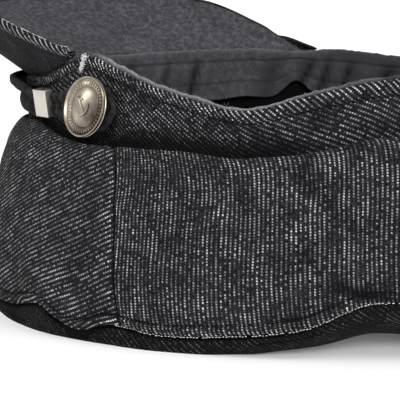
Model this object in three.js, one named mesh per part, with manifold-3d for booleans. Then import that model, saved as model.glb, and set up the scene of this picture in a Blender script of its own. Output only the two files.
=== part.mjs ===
// A denim skipper cap lying upside down on its crown, in millimetres with +Z up.
// The peak points along -X, the back of the head is towards +X, and Y = 0 is the cap's middle plane.
// "Around" is an angle in degrees: 0 at the front middle, 90 at the right side (-Y), 180 at the back.
// "Out" is a distance outwards from the head oval, square to it in plan.

import * as THREE from "three";
import { mergeVertices } from "three/addons/utils/BufferGeometryUtils.js";
import Module from "manifold-3d";

// The sizes that drive the cap.
const headLength = 196;
const headWidth = 166;
const denimWall = 1.6;
const sweatbandWall = 1.1;
const peakTopWall = 1.5;
const peakUnderWall = 1.2;
const seamGap = 0.3;
const panelGap = 0.36;
const rimHeight = 79;
const bandTuck = 2.5;
const sweatbandHeight = 15.5;
const sweatbandLift = 2.4;
const crownOverhang = 15;
const sideFall = 4.5;
const panelSeam = 72;
const seamSweep = 10;
const seamHook = 2;
const peakReach = 46;
const peakWidth = 154;
const peakSpan = 65;
const peakUnderInset = 0.05;
const peakBaseOut = 0.8;
const peakBaseLift = 0.7;
const strapWidth = 12.6;
const strapThickness = 2.6;
const strapEnd = 75.5;
const strapRoundEnd = 3.4;
const sliderAround = 56;
const sliderLength = 7;
const sliderHeight = 8.8;
const sliderDepth = 5;
const sliderWall = 0.9;
const sliderTurn = 6;
const buttonAround = 70;
const buttonDiameter = 18;
const buttonLean = 12;
const shankDiameter = 4;

const bandOut = sweatbandWall + seamGap + denimWall;
const radians = Math.PI / 180;

// The rim's height on the right ("near") and the left ("far") side, as shares of rimHeight, and how far it
// flares out over the band, as a share of crownOverhang.
const rims = [
  { at: 0, near: 0.87, far: 0.87, flare: 0 },
  { at: 30, near: 0.88, far: 0.883, flare: 0 },
  { at: 50, near: 0.907, far: 0.888, flare: 0 },
  { at: 58, near: 0.951, far: 0.893, flare: 0 },
  { at: 66, near: 1.005, far: 0.912, flare: 0 },
  { at: 74, near: 0.969, far: 0.899, flare: 0.05 },
  { at: 81, near: 0.924, far: 0.881, flare: 0.12 },
  { at: 90, near: 0.878, far: 0.864, flare: 0.2 },
  { at: 100, near: 0.842, far: 0.854, flare: 0.25 },
  { at: 111, near: 0.907, far: 0.873, flare: 0.2 },
  { at: 122, near: 0.959, far: 0.903, flare: 0.12 },
  { at: 150, near: 1, far: 0.97, flare: 0.05 },
  { at: 180, near: 1.02, far: 1.02, flare: 0 },
];

// The crown's sections: the puff over the band, the belly, the hip, the tip seam and the foot. Heights are
// shares of rimHeight, and the rest are shares of crownOverhang beyond the band's face.
const sections = [
  { at: 0, puffZ: 0.689, puff: 0.16, belly: 0.7, hip: 0.9, tip: 0.85, tipZ: 0.1, foot: 0.7, footZ: 0 },
  { at: 30, puffZ: 0.708, puff: 0.16, belly: 0.7, hip: 0.93, tip: 0.92, tipZ: 0.07, foot: 0.85, footZ: 0 },
  { at: 50, puffZ: 0.733, puff: 0.18, belly: 0.83, hip: 1.07, tip: 1.08, tipZ: 0.05, foot: 1.05, footZ: 0 },
  { at: 58, puffZ: 0.708, puff: 0.28, belly: 0.9, hip: 1.15, tip: 1.2, tipZ: 0.06, foot: 1.2, footZ: 0 },
  { at: 68, puffZ: 0.69, puff: 0.42, belly: 0.97, hip: 1.22, tip: 1.3, tipZ: 0.1, foot: 1.32, footZ: 0 },
  { at: 76, puffZ: 0.692, puff: 0.52, belly: 1.02, hip: 1.22, tip: 1.3, tipZ: 0.036, foot: 1.3, footZ: 0 },
  { at: 82, puffZ: 0.7, puff: 0.6, belly: 1.05, hip: 1.22, tip: 1.27, tipZ: 0.075, foot: 1.26, footZ: 0 },
  { at: 90, puffZ: 0.697, puff: 0.65, belly: 1.08, hip: 1.2, tip: 1.2, tipZ: 0.058, foot: 1.1, footZ: 0 },
  { at: 100, puffZ: 0.685, puff: 0.65, belly: 1.08, hip: 1.13, tip: 1.08, tipZ: 0.072, foot: 0.78, footZ: 0 },
  { at: 111, puffZ: 0.711, puff: 0.6, belly: 1.05, hip: 1.05, tip: 0.97, tipZ: 0.11, foot: 0.32, footZ: 0.03 },
  { at: 121, puffZ: 0.765, puff: 0.5, belly: 1.03, hip: 0.98, tip: 0.87, tipZ: 0.2, foot: 0.1, footZ: 0.06 },
  { at: 150, puffZ: 0.785, puff: 0.5, belly: 1, hip: 0.95, tip: 0.85, tipZ: 0.14, foot: 0.4, footZ: 0 },
  { at: 180, puffZ: 0.785, puff: 0.5, belly: 1, hip: 0.95, tip: 0.85, tipZ: 0.12, foot: 0.45, footZ: 0 },
];

// The crown side's profile below the puff's top: how far down, as a share of the fall to the tip seam, and
// the shares of the section's puff, belly, hip and tip that its width is mixed from.
const sideProfile = [
  { down: 0, puff: 1, belly: 0, hip: 0, tip: 0 },
  { down: 0.12, puff: 0.5, belly: 0.5, hip: 0, tip: 0 },
  { down: 0.4, puff: 0, belly: 1, hip: 0, tip: 0 },
  { down: 0.75, puff: 0, belly: 0, hip: 1, tip: 0 },
  { down: 1, puff: 0, belly: 0, hip: 0, tip: 1 },
];

// The dip behind the puff: its depth as a share of the puff's reach, and the point on its slope, as shares
// of the reach and of the depth.
const puffDip = 0.35;
const dipSlope = { out: 0.45, up: 0.15 };

// Dents and folds in the crown's side: where around, how far down as a share of the panel, how wide in
// degrees, how tall as a share of the panel, and how far out in shares of crownOverhang.
const folds = [
  { at: 71, down: 0.93, wide: 5, tall: 0.18, out: 0.1 },
  { at: 58, down: 0.95, wide: 6, tall: 0.2, out: -0.12 },
  { at: 92, down: 0.6, wide: 10, tall: 0.16, out: -0.07 },
  { at: 114, down: 0.36, wide: 5, tall: 0.14, out: -0.1 },
  { at: 121, down: 0.88, wide: 6, tall: 0.13, out: -0.16 },
  { at: 148, down: 0.5, wide: 9, tall: 0.3, out: 0.09 },
  { at: 176, down: 0.45, wide: 7, tall: 0.25, out: -0.12 },
  { at: -32, down: 0.6, wide: 9, tall: 0.2, out: -0.1 },
  { at: -58, down: 0.9, wide: 8, tall: 0.2, out: 0.12 },
  { at: -96, down: 0.5, wide: 10, tall: 0.25, out: -0.09 },
  { at: -128, down: 0.8, wide: 8, tall: 0.18, out: -0.14 },
  { at: -160, down: 0.4, wide: 8, tall: 0.25, out: 0.08 },
];

// Waves of the sweatband's free edge: where around, how wide in degrees, and how far the edge lifts and
// hangs inwards, in shares of sweatbandHeight.
const waves = [
  { at: -58.5, wide: 3.5, lift: 0.42, inwards: 0.1 },
  { at: -47, wide: 5, lift: 0.1, inwards: 0.14 },
  { at: -70, wide: 6, lift: -0.1, inwards: 0.2 },
  { at: -24, wide: 6, lift: -0.03, inwards: 0.1 },
  { at: 0, wide: 5, lift: 0.04, inwards: 0.18 },
  { at: 30, wide: 8, lift: 0.08, inwards: 0.12 },
  { at: 70, wide: 8, lift: -0.06, inwards: 0.15 },
  { at: 110, wide: 9, lift: -0.06, inwards: 0.15 },
  { at: 150, wide: 8, lift: 0.1, inwards: 0.1 },
  { at: -100, wide: 8, lift: 0.08, inwards: 0.12 },
  { at: -150, wide: 9, lift: -0.05, inwards: 0.08 },
];

// The height of the peak's edge from the front middle to its end, as a share of rimHeight, and the fall
// from its right end to its left end.
const peakEdge = [
  { at: 0, z: 1.145 },
  { at: 30, z: 1.178 },
  { at: 60, z: 1.19 },
  { at: 75, z: 1.118 },
  { at: 83, z: 1.066 },
  { at: 90, z: 1.018 },
];
const peakFall = 4.8;

// The strap's sections from the front middle to its end: height as a share of rimHeight, out in millimetres,
// thick and width as shares of strapThickness and strapWidth, and lean in degrees, outwards at the top.
const strapSections = [
  { at: 0, z: 0.797, out: 5.8, thick: 1, width: 0.86, lean: 12 },
  { at: 30, z: 0.809, out: 6, thick: 1, width: 0.94, lean: 14 },
  { at: 44, z: 0.81, out: 6.9, thick: 1, width: 0.84, lean: 6 },
  { at: 52, z: 0.809, out: 7, thick: 1, width: 0.51, lean: 0 },
  { at: 60, z: 0.811, out: 5.8, thick: 1, width: 0.51, lean: 0 },
  { at: 65, z: 0.814, out: 5.9, thick: 1, width: 0.84, lean: -8 },
  { at: 70, z: 0.817, out: 6.1, thick: 1, width: 1, lean: -12 },
  { at: 75.5, z: 0.815, out: 6, thick: 1, width: 0.9, lean: -12 },
];

// The button's half section, from the middle of its face out, over the rim and back to the shank, as
// shares of its radius: the radius and the depth behind the highest point.
const buttonProfile = [
  [0, 0],
  [0.25, 0.02],
  [0.48, 0.07],
  [0.6, 0.12],
  [0.8, 0.12],
  [0.86, 0.05],
  [0.95, 0.05],
  [1, 0.12],
  [1, 0.2],
  [0.93, 0.27],
];

// A smooth curve through a table's column, level at 0 and at 180.
function column(rows, name, around) {
  const at = Math.abs(((around + 540) % 360) - 180);
  const last = rows.length - 1;
  let i = 0;
  while (i < last - 1 && at > rows[i + 1].at) i += 1;
  const slope = (k) => {
    const a = rows[Math.max(k - 1, 0)];
    const b = rows[Math.min(k + 1, last)];
    return rows[k].at % 180 === 0 ? 0 : (b[name] - a[name]) / (b.at - a.at);
  };
  const span = rows[i + 1].at - rows[i].at;
  const t = Math.min((at - rows[i].at) / span, 1);
  const rise = rows[i + 1][name] - rows[i][name];
  const a = slope(i) * span - rise;
  const b = rise - slope(i + 1) * span;
  return rows[i][name] + t * rise + t * (1 - t) * ((1 - t) * a + t * b);
}

// The signed angle from one place around to another, from -180 to 180.
const apart = (a, b) => ((a - b + 900) % 360) - 180;

// A round bump of height 1 at 0 that has faded out at about twice its width.
const bump = (distance, wide) => Math.exp(-((distance / wide) ** 2));

// The outward direction of the head oval in plan.
function outward(around) {
  const c = Math.cos(around * radians);
  const s = Math.sin(around * radians);
  return new THREE.Vector3(-c / headLength, -s / headWidth, 0).normalize();
}

// A point "out" from the head oval at an angle around it.
function onOval(around, out, z) {
  const c = Math.cos(around * radians);
  const s = Math.sin(around * radians);
  const onHead = new THREE.Vector3((-headLength / 2) * c, (-headWidth / 2) * s, z);
  return onHead.addScaledVector(outward(around), out);
}

const rimZ = (around) => rimHeight * column(rims, apart(around, 0) >= 0 ? "near" : "far", around);
// How much lower the left side of the crown and the strap hang than the right side.
const leftFall = (around) => (apart(around, 0) < 0 ? sideFall * Math.sin(around * radians) ** 2 : 0);

const beyondBand = (name, around) => bandOut + crownOverhang * column(sections, name, around);

// The top of the puff, and the seam that joins the crown to the band's outer face in the dip behind it.
const puffZ = (around) => rimHeight * column(sections, "puffZ", around) - leftFall(around);
const crownSeamZ = (around) => puffZ(around) - puffDip * (beyondBand("puff", around) - bandOut);

// How far the folds push the crown out at a share "down" its side panels.
function foldOut(around, down) {
  const push = (f) => f.out * bump(apart(around, f.at), f.wide) * bump(down - f.down, f.tall);
  return crownOverhang * folds.reduce((sum, f) => sum + push(f), 0);
}

// The crown side's outer face, from the band seam (v = 0) over the puff and the belly to the tip seam
// (v = 1).
function crownSide(around, v) {
  const start = bandOut + 1.5 * seamGap;
  const seamZ = crownSeamZ(around);
  const top = puffZ(around);
  const fall = top - rimHeight * column(sections, "tipZ", around);
  const width = Object.fromEntries(
    ["puff", "belly", "hip", "tip"].map((name) => [name, beyondBand(name, around)]),
  );
  const mixed = (row) => Object.entries(width).reduce((sum, [name, out]) => sum + row[name] * out, 0);
  const profile = new THREE.SplineCurve([
    new THREE.Vector2(start, seamZ),
    new THREE.Vector2(start + dipSlope.out * (width.puff - start), seamZ + dipSlope.up * (top - seamZ)),
    ...sideProfile.map((row) => new THREE.Vector2(mixed(row), top - row.down * fall)),
  ]);
  const p = profile.getPoint(v);
  return onOval(around, p.x + foldOut(around, v), p.y);
}

// The crown top's outer face, from the tip seam (v = 0) round under to its foot and in to the middle (v = 1).
const footAt = 0.4;
function crownTip(around, v) {
  const top = rimHeight * column(sections, "tipZ", around) - seamGap;
  const tip = beyondBand("tip", around) + foldOut(around, 1);
  const foot = beyondBand("foot", around);
  const footZ = Math.max(rimHeight * column(sections, "footZ", around), 0);
  if (v <= footAt) {
    const q = (v / footAt) * 90 * radians;
    return onOval(around, foot + (tip - foot) * Math.cos(q), footZ + (top - footZ) * (1 - Math.sin(q)));
  }
  const inwards = (v - footAt) / (1 - footAt);
  return onOval(around, foot, 0)
    .multiplyScalar(1 - inwards)
    .setZ(footZ * (1 - inwards) ** 2);
}

// The band's outer face, from the rim (v = 0) to its lower edge behind the crown seam (v = 1).
const bandFootZ = (around) => crownSeamZ(around) - bandTuck;
function bandFace(around, v) {
  const flare = crownOverhang * column(rims, "flare", around) * (1 - v) ** 2;
  return onOval(around, bandOut + flare, THREE.MathUtils.lerp(rimZ(around), bandFootZ(around), v));
}

// The sweatband's outer face, from the rim (v = 0) to its free edge (v = 1). It rises behind the peak's seam,
// and the rise grows over a stretch of degrees in from the peak's end.
const riseStretch = [8, 22];
function sweatbandFace(around, v) {
  const sum = (name) =>
    sweatbandHeight * waves.reduce((total, w) => total + w[name] * bump(apart(around, w.at), w.wide), 0);
  const p = bandFace(around, (v * sweatbandHeight) / (rimZ(around) - bandFootZ(around)));
  const behindPeak = THREE.MathUtils.smoothstep(peakSpan - Math.abs(apart(around, 0)), ...riseStretch);
  p.z += v * sum("lift") + (1 - v) * sweatbandLift * behindPeak;
  return p.addScaledVector(outward(around), -denimWall - seamGap - v * v * sum("inwards"));
}

// The underside of the denim half of the peak, from the rim (v = 0) to its edge (v = 1). Turn goes from -90
// at the left end over 0 at the front middle to 90 at the right end.
function peakFace(turn, v) {
  const around = (turn / 90) * peakSpan;
  const out = bandOut + peakBaseOut * Math.cos(turn * radians);
  const base = onOval(around, out, rimZ(around) + peakBaseLift);
  const endX = onOval(peakSpan, bandOut, 0).x;
  const tipX = -headLength / 2 - bandOut - peakReach;
  const aside = Math.sin(turn * radians);
  const edge = new THREE.Vector3(
    endX + (tipX - endX) * Math.cos(turn * radians),
    (-peakWidth / 2) * aside,
    rimHeight * column(peakEdge, "z", turn) - (peakFall / 2) * (1 - aside),
  );
  return base.lerp(edge, v);
}

// The inner grid of a wall, with one row brought level with the outer grid's, where a seam is.
function innerOf(outer, wall, ring, levelRow) {
  const inner = moved(outer, -wall, ring);
  inner.forEach((points, i) => points[levelRow].setZ(outer[i][levelRow].z));
  return inner;
}

// A grid of points, "across" columns by "along" rows, of a face given as a function of two shares.
function gridOf(across, along, face) {
  return Array.from({ length: across + 1 }, (_, i) =>
    Array.from({ length: along + 1 }, (__, j) => face(i / across, j / along)),
  );
}

// The same grid moved square to its face, outwards or up where the distance is above zero. A ring's first and
// last columns are the same.
function moved(grid, distance, ring) {
  const last = grid.length - 1;
  return grid.map((points, i) =>
    points.map((p, j) => {
      const before = ring && i === 0 ? grid[last - 1] : grid[Math.max(i - 1, 0)];
      const after = ring && i === last ? grid[1] : grid[Math.min(i + 1, last)];
      const across = after[j].clone().sub(before[j]);
      const along = points[Math.min(j + 1, points.length - 1)].clone().sub(points[Math.max(j - 1, 0)]);
      return p.clone().addScaledVector(along.cross(across).normalize(), distance);
    }),
  );
}

// The triangles of a grid's face, corner by corner, without the empty ones where points meet.
function skin(grid) {
  const corners = [];
  const face = (a, b, c) => {
    if (a.distanceTo(b) > 1e-4 && b.distanceTo(c) > 1e-4 && c.distanceTo(a) > 1e-4) corners.push(a, b, c);
  };
  for (let i = 0; i < grid.length - 1; i += 1) {
    for (let j = 0; j < grid[i].length - 1; j += 1) {
      face(grid[i][j], grid[i + 1][j], grid[i + 1][j + 1]);
      face(grid[i][j], grid[i + 1][j + 1], grid[i][j + 1]);
    }
  }
  return corners;
}

// A closed wall between two grids of the same size.
function wallBetween(outer, inner, ring) {
  const first = outer.map((points, i) => [inner[i][0], points[0]]);
  const last = outer.map((points, i) => [points[points.length - 1], inner[i][points.length - 1]]);
  const ends = [0, outer.length - 1].map((i) => outer[i].map((p, j) => [p, inner[i][j]]));
  const corners = [skin(outer), skin(inner).reverse(), skin(first), skin(last)];
  if (!ring) corners.push(skin(ends[0]), skin(ends[1]).reverse());
  return closed(corners.flat());
}

// A geometry from a closed body's triangles, turned round if they face inwards.
function closed(corners) {
  let volume = 0;
  for (let i = 0; i < corners.length; i += 3) {
    volume += corners[i].dot(corners[i + 1].clone().cross(corners[i + 2]));
  }
  const facing = volume < 0 ? corners.slice().reverse() : corners;
  const geometry = mergeVertices(new THREE.BufferGeometry().setFromPoints(facing), 1e-4);
  geometry.computeVertexNormals();
  return geometry;
}

// The body left when others are cut out of it.
const wasm = await Module();
wasm.setup();
function solidOf(geometry) {
  return new wasm.Manifold(
    new wasm.Mesh({
      numProp: 3,
      vertProperties: geometry.attributes.position.array,
      triVerts: new Uint32Array(geometry.index.array),
    }),
  );
}
function cut(body, tools) {
  const left = tools.reduce((solid, tool) => solid.subtract(solidOf(tool)), solidOf(body)).getMesh();
  const geometry = new THREE.BufferGeometry();
  geometry.setAttribute("position", new THREE.BufferAttribute(left.vertProperties, 3));
  geometry.setIndex(new THREE.BufferAttribute(left.triVerts, 1));
  geometry.computeVertexNormals();
  return geometry;
}

const denim = new THREE.MeshStandardMaterial({ color: 0x2b2a2e, roughness: 0.95, metalness: 0 });
const underside = new THREE.MeshStandardMaterial({ color: 0x46464b, roughness: 0.95, metalness: 0 });
const cotton = new THREE.MeshStandardMaterial({ color: 0x3a3b40, roughness: 0.9, metalness: 0 });
const suede = new THREE.MeshStandardMaterial({ color: 0x1d1a1a, roughness: 0.9, metalness: 0 });
const steel = new THREE.MeshStandardMaterial({ color: 0xd2cdc4, roughness: 0.3, metalness: 1 });
const oldSilver = new THREE.MeshStandardMaterial({ color: 0xa79f8c, roughness: 0.4, metalness: 1 });

const cap = new THREE.Group();

function add(name, geometry, material) {
  const mesh = new THREE.Mesh(geometry, material);
  mesh.name = name;
  cap.add(mesh);
  return mesh;
}

// The crown: a front panel, two side panels that meet at the back, and the top.
const crownRows = 11;
const columnAngle = 5.6;
const tipAngles = [];
function crownPanel(name, from, to) {
  const seam = panelGap / headWidth / radians;
  const start = (v) => from(v) + seam;
  const span = (v) => to(v) - seam - start(v);
  const columns = Math.round(span(1) / columnAngle);
  const outer = gridOf(columns, crownRows, (u, v) => crownSide(start(v) + u * span(v), v));
  add(name, wallBetween(outer, innerOf(outer, denimWall, false, crownRows), false), denim);
  outer.forEach((_, i) => tipAngles.push(start(1) + (i / columns) * span(1)));
}
const seamAt = (v) => panelSeam + seamSweep * (1 - (1 - v) ** 2.2) + seamHook * v ** 8;
crownPanel("crown_front", (v) => -seamAt(v), seamAt);
crownPanel("crown_side_right", seamAt, () => 180);
crownPanel("crown_side_left", () => 180, (v) => 360 - seamAt(v));

const topRows = 7;
const tipAt = (u) => tipAngles[Math.round(u * tipAngles.length) % tipAngles.length];
const topFace = gridOf(tipAngles.length, topRows, (u, v) => crownTip(tipAt(u), v));
add("crown_top", wallBetween(topFace, innerOf(topFace, denimWall, true, 0), true), denim);

// The band, with a hole for each button's shank, and the sweatband inside it.
const bandColumns = 84;
const bandGrid = gridOf(bandColumns, 2, (u, v) => bandFace(360 * u, v));
const bandBody = wallBetween(bandGrid, moved(bandGrid, -denimWall, true), true);
const sweatbandGrid = gridOf(bandColumns, 3, (u, v) => sweatbandFace(360 * u, v));
const sweatbandBody = wallBetween(sweatbandGrid, moved(sweatbandGrid, -sweatbandWall, true), true);

// The peak: a denim half, and a grey half over it that stops short of the turned edge.
const peakTurn = 87;
const peakColumns = 32;
const peakRows = 4;
const peakGrid = (length) =>
  gridOf(peakColumns, peakRows, (u, v) => peakFace(peakTurn * (2 * u - 1), v * length));
const denimHalf = peakGrid(1);
const greyHalf = moved(peakGrid(1 - peakUnderInset), peakTopWall + seamGap, false);

// The strap, from button to button round the front, as rings of points along its way. A power under 1
// squares its section.
const strapSides = 8;
const strapSteps = 46;
const squareness = { up: 0.45, across: 0.6 };
const softened = (x, power) => Math.sign(x) * Math.abs(x) ** power;
const strapZ = (around) => rimHeight * column(strapSections, "z", around) - leftFall(around);
function strapPoint(share, along) {
  const around = -strapEnd * Math.cos(Math.PI * along);
  const at = Math.abs(around);
  const turn = Math.round(share * strapSides) * ((2 * Math.PI) / strapSides);
  const roundEnd = Math.sqrt(1 - Math.max(1 - (strapEnd - at) / strapRoundEnd, 0) ** 2);
  const height = strapWidth * column(strapSections, "width", at) * roundEnd;
  const up = 0.5 * height * softened(Math.cos(turn), squareness.up);
  const thick = along > 0 && along < 1 ? strapThickness * column(strapSections, "thick", at) : 0;
  const across = 0.5 * thick * softened(Math.sin(turn), squareness.across);
  const lean = column(strapSections, "lean", at) * radians;
  const out = column(strapSections, "out", at) + across * Math.cos(lean) + up * Math.sin(lean);
  return onOval(around, out, strapZ(around) + up * Math.cos(lean) - across * Math.sin(lean));
}
const strapBody = closed(skin(gridOf(strapSides, strapSteps, (u, v) => strapPoint(u === 1 ? 0 : u, v))));

// The placing of a piece on the strap: +X runs back along the strap, and +Z looks out from it.
function onStrap(side, at, turn, lean, beyond) {
  const up = new THREE.Vector3(0, 0, 1);
  const flat = outward(side * at).applyAxisAngle(up, side * turn * radians);
  const back = new THREE.Vector3(-flat.y, flat.x, 0).multiplyScalar(side);
  const facing = flat.applyAxisAngle(back, -side * lean * radians);
  const out = column(strapSections, "out", at);
  const centre = onOval(side * at, out, strapZ(side * at)).addScaledVector(facing, beyond);
  return new THREE.Matrix4().makeBasis(back, facing.clone().cross(back), facing).setPosition(centre);
}

// A sheet-metal loop that the gathered strap runs through.
function sliderGeometry() {
  const rectangle = (height, depth) => [
    new THREE.Vector2(-height / 2, -depth / 2),
    new THREE.Vector2(height / 2, -depth / 2),
    new THREE.Vector2(height / 2, depth / 2),
    new THREE.Vector2(-height / 2, depth / 2),
  ];
  const loop = new THREE.Shape(rectangle(sliderHeight, sliderDepth));
  loop.holes.push(new THREE.Path(rectangle(sliderHeight - 2 * sliderWall, sliderDepth - 2 * sliderWall)));
  const geometry = new THREE.ExtrudeGeometry(loop, { depth: sliderLength, bevelEnabled: false });
  geometry.translate(0, 0, -sliderLength / 2);
  const x = new THREE.Vector3(1, 0, 0);
  const y = new THREE.Vector3(0, 1, 0);
  const z = new THREE.Vector3(0, 0, 1);
  return geometry.applyMatrix4(new THREE.Matrix4().makeBasis(y, z, x));
}

// A body of revolution about Z from [radius, height] pairs that start and end on the axis.
const roundSides = 28;
function turned(pairs) {
  return closed(
    skin(
      gridOf(roundSides, pairs.length - 1, (u, v) => {
        const [r, z] = pairs[Math.round(v * (pairs.length - 1))];
        const turn = u === 1 ? 0 : u * 2 * Math.PI;
        return new THREE.Vector3(r * Math.cos(turn), r * Math.sin(turn), z);
      }),
    ),
  );
}

// The button: a domed disc with a raised rim, and a shank that ends inside the band.
const radius = buttonDiameter / 2;
const buttonBack = radius * buttonProfile[buttonProfile.length - 1][1];
const strapOut = column(strapSections, "out", buttonAround);
const shankDepth = (strapOut - sweatbandWall - seamGap) / Math.cos(buttonLean * radians);
const shankEnd = buttonBack + strapThickness / 2 + seamGap + shankDepth;
const buttonPairs = [
  ...buttonProfile.map(([r, depth]) => [r * radius, -depth * radius]),
  [shankDiameter / 2, -buttonBack],
  [shankDiameter / 2, -shankEnd],
  [0, -shankEnd],
];
const holeRadius = shankDiameter / 2 + seamGap;
const holePairs = [
  [0, -buttonBack],
  [holeRadius, -buttonBack],
  [holeRadius, -shankEnd - denimWall],
  [0, -shankEnd - denimWall],
];
const buttonPlace = (side) =>
  onStrap(side, buttonAround, 0, buttonLean, strapThickness / 2 + seamGap + buttonBack);
const holes = [1, -1].map((side) => turned(holePairs).applyMatrix4(buttonPlace(side)));

add("band", cut(bandBody, holes), denim);
add("sweatband", sweatbandBody, cotton);
add("peak_top", wallBetween(denimHalf, moved(denimHalf, peakTopWall, false), false), denim);
add("peak_under", wallBetween(greyHalf, moved(greyHalf, peakUnderWall, false), false), underside);
add("strap", cut(strapBody, holes), suede);
for (const [side, name] of [
  [1, "right"],
  [-1, "left"],
]) {
  const sliderPlace = onStrap(side, sliderAround, sliderTurn, 0, 0);
  add("slider_" + name, sliderGeometry().applyMatrix4(sliderPlace), steel);
  add("button_" + name, turned(buttonPairs).applyMatrix4(buttonPlace(side)), oldSilver);
}

// The origin: the middle of the cap's box, on the floor.
const box = new THREE.Box3().setFromObject(cap);
const middle = box.getCenter(new THREE.Vector3());
cap.position.set(-middle.x, -middle.y, -box.min.z);

export default cap;
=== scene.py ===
"""Dresses the denim skipper cap: cloth, strap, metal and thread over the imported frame."""

import logging
import math
from dataclasses import dataclass, field
from enum import Enum
from typing import Callable, Optional, Sequence, Union

import bmesh
import bpy
import numpy as np
from mathutils import Matrix, Vector, noise


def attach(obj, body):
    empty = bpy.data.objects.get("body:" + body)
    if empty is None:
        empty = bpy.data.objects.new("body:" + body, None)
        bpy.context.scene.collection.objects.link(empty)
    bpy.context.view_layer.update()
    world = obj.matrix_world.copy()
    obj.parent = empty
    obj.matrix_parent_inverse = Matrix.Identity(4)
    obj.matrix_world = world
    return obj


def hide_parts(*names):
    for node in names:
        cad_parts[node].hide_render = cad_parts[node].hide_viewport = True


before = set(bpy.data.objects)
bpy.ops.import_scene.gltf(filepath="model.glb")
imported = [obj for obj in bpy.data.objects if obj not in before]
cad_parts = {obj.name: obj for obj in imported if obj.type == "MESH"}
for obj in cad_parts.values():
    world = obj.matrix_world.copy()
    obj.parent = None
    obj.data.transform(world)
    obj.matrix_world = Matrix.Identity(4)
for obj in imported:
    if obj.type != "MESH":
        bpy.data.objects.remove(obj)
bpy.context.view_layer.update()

log = logging.getLogger("skipper_cap")

MM = 0.001
BODY = "root"
CLOTH_UV = "cloth"
# A per-point attribute: worn edges and tarnish, and painted shade in creases, seams, grooves and hollows.
WEAR_AND_PAINTED_SHADE = "wear"

Colour = tuple[float, float, float]
Array = np.ndarray


# Tables of shares


class Table:
    """A table with named columns, read by a smooth curve that is level at 0 and at 180 degrees."""

    def __init__(self, names: str, rows: Sequence[Sequence[float]]) -> None:
        """Keeps the columns and their slopes.

        Args:
            names: The columns' names after the first, which is the angle.
            rows: The rows, each an angle and its values.
        """
        self.at = np.array([row[0] for row in rows], float)
        self.values = {
            name: np.array([row[i + 1] for row in rows], float)
            for i, name in enumerate(names.split())
        }
        self.slopes: dict[str, Array] = {}
        last = len(rows) - 1
        for name, v in self.values.items():
            slope = np.zeros(len(rows))
            for k in range(len(rows)):
                low, high = max(k - 1, 0), min(k + 1, last)
                if self.at[k] % 180:
                    slope[k] = (v[high] - v[low]) / (self.at[high] - self.at[low])
            self.slopes[name] = slope

    def read(self, name: str, around: Union[float, Array]) -> Array:
        """Reads a column at an angle on either side of the cap.

        Args:
            name: The column.
            around: Degrees from the front middle, on either side.

        Returns:
            The column's values there.
        """
        at = np.abs((np.asarray(around, float) + 540) % 360 - 180)
        i = np.clip(np.searchsorted(self.at, at, side="left") - 1, 0, len(self.at) - 2)
        v, slope = self.values[name], self.slopes[name]
        span = self.at[i + 1] - self.at[i]
        t = np.minimum((at - self.at[i]) / span, 1)
        rise = v[i + 1] - v[i]
        a = slope[i] * span - rise
        b = rise - slope[i + 1] * span
        return v[i] + t * rise + t * (1 - t) * ((1 - t) * a + t * b)


RIM = Table(
    "near far flare",
    [
        (0, 0.87, 0.87, 0),
        (30, 0.88, 0.883, 0),
        (50, 0.907, 0.888, 0),
        (58, 0.951, 0.893, 0),
        (66, 1.005, 0.912, 0),
        (74, 0.969, 0.899, 0.05),
        (81, 0.924, 0.881, 0.12),
        (90, 0.878, 0.864, 0.2),
        (100, 0.842, 0.854, 0.25),
        (111, 0.907, 0.873, 0.2),
        (122, 0.959, 0.903, 0.12),
        (150, 1, 0.97, 0.05),
        (180, 1.02, 1.02, 0),
    ],
)
SECTIONS = Table(
    "puff_z puff belly hip tip tip_z foot foot_z",
    [
        (0, 0.689, 0.16, 0.7, 0.9, 0.85, 0.1, 0.7, 0),
        (30, 0.708, 0.16, 0.7, 0.93, 0.92, 0.07, 0.85, 0),
        (50, 0.733, 0.18, 0.83, 1.07, 1.08, 0.05, 1.05, 0),
        (58, 0.708, 0.28, 0.9, 1.15, 1.2, 0.06, 1.2, 0),
        (68, 0.69, 0.42, 0.97, 1.22, 1.3, 0.1, 1.32, 0),
        (76, 0.692, 0.52, 1.02, 1.22, 1.3, 0.036, 1.3, 0),
        (82, 0.7, 0.6, 1.05, 1.22, 1.27, 0.075, 1.26, 0),
        (90, 0.697, 0.65, 1.08, 1.2, 1.2, 0.058, 1.2, 0),
        (100, 0.685, 0.65, 1.08, 1.13, 1.08, 0.072, 0.8, 0),
        (111, 0.711, 0.6, 1.05, 1.05, 0.97, 0.11, -0.6, 0.004),
        (121, 0.765, 0.5, 1.03, 0.98, 0.87, 0.2, -2.4, 0.01),
        (150, 0.785, 0.5, 1, 0.95, 0.85, 0.14, -0.6, 0),
        (180, 0.785, 0.5, 1, 0.95, 0.85, 0.12, 0.45, 0),
    ],
)
PEAK_EDGE = Table(
    "z",
    [(0, 1.145), (30, 1.178), (60, 1.19), (75, 1.118), (83, 1.066), (90, 1.018)],
)
STRAP = Table(
    "z out width lean kink",
    [
        (0, 0.797, 5.8, 0.86, 12, 0.5),
        (20, 0.806, 5.9, 0.92, 14, 0.9),
        (30, 0.809, 6, 0.94, 14, 1.3),
        (44, 0.81, 6.9, 0.84, 6, 1.5),
        (52, 0.809, 7, 0.53, 0, 0.5),
        (60, 0.811, 5.8, 0.53, 0, 0.5),
        (65, 0.814, 5.9, 0.84, -8, 0.9),
        (70, 0.817, 6.1, 1, -12, 0.5),
        (75.5, 0.815, 6, 0.9, -12, 0.2),
    ],
)

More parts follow.
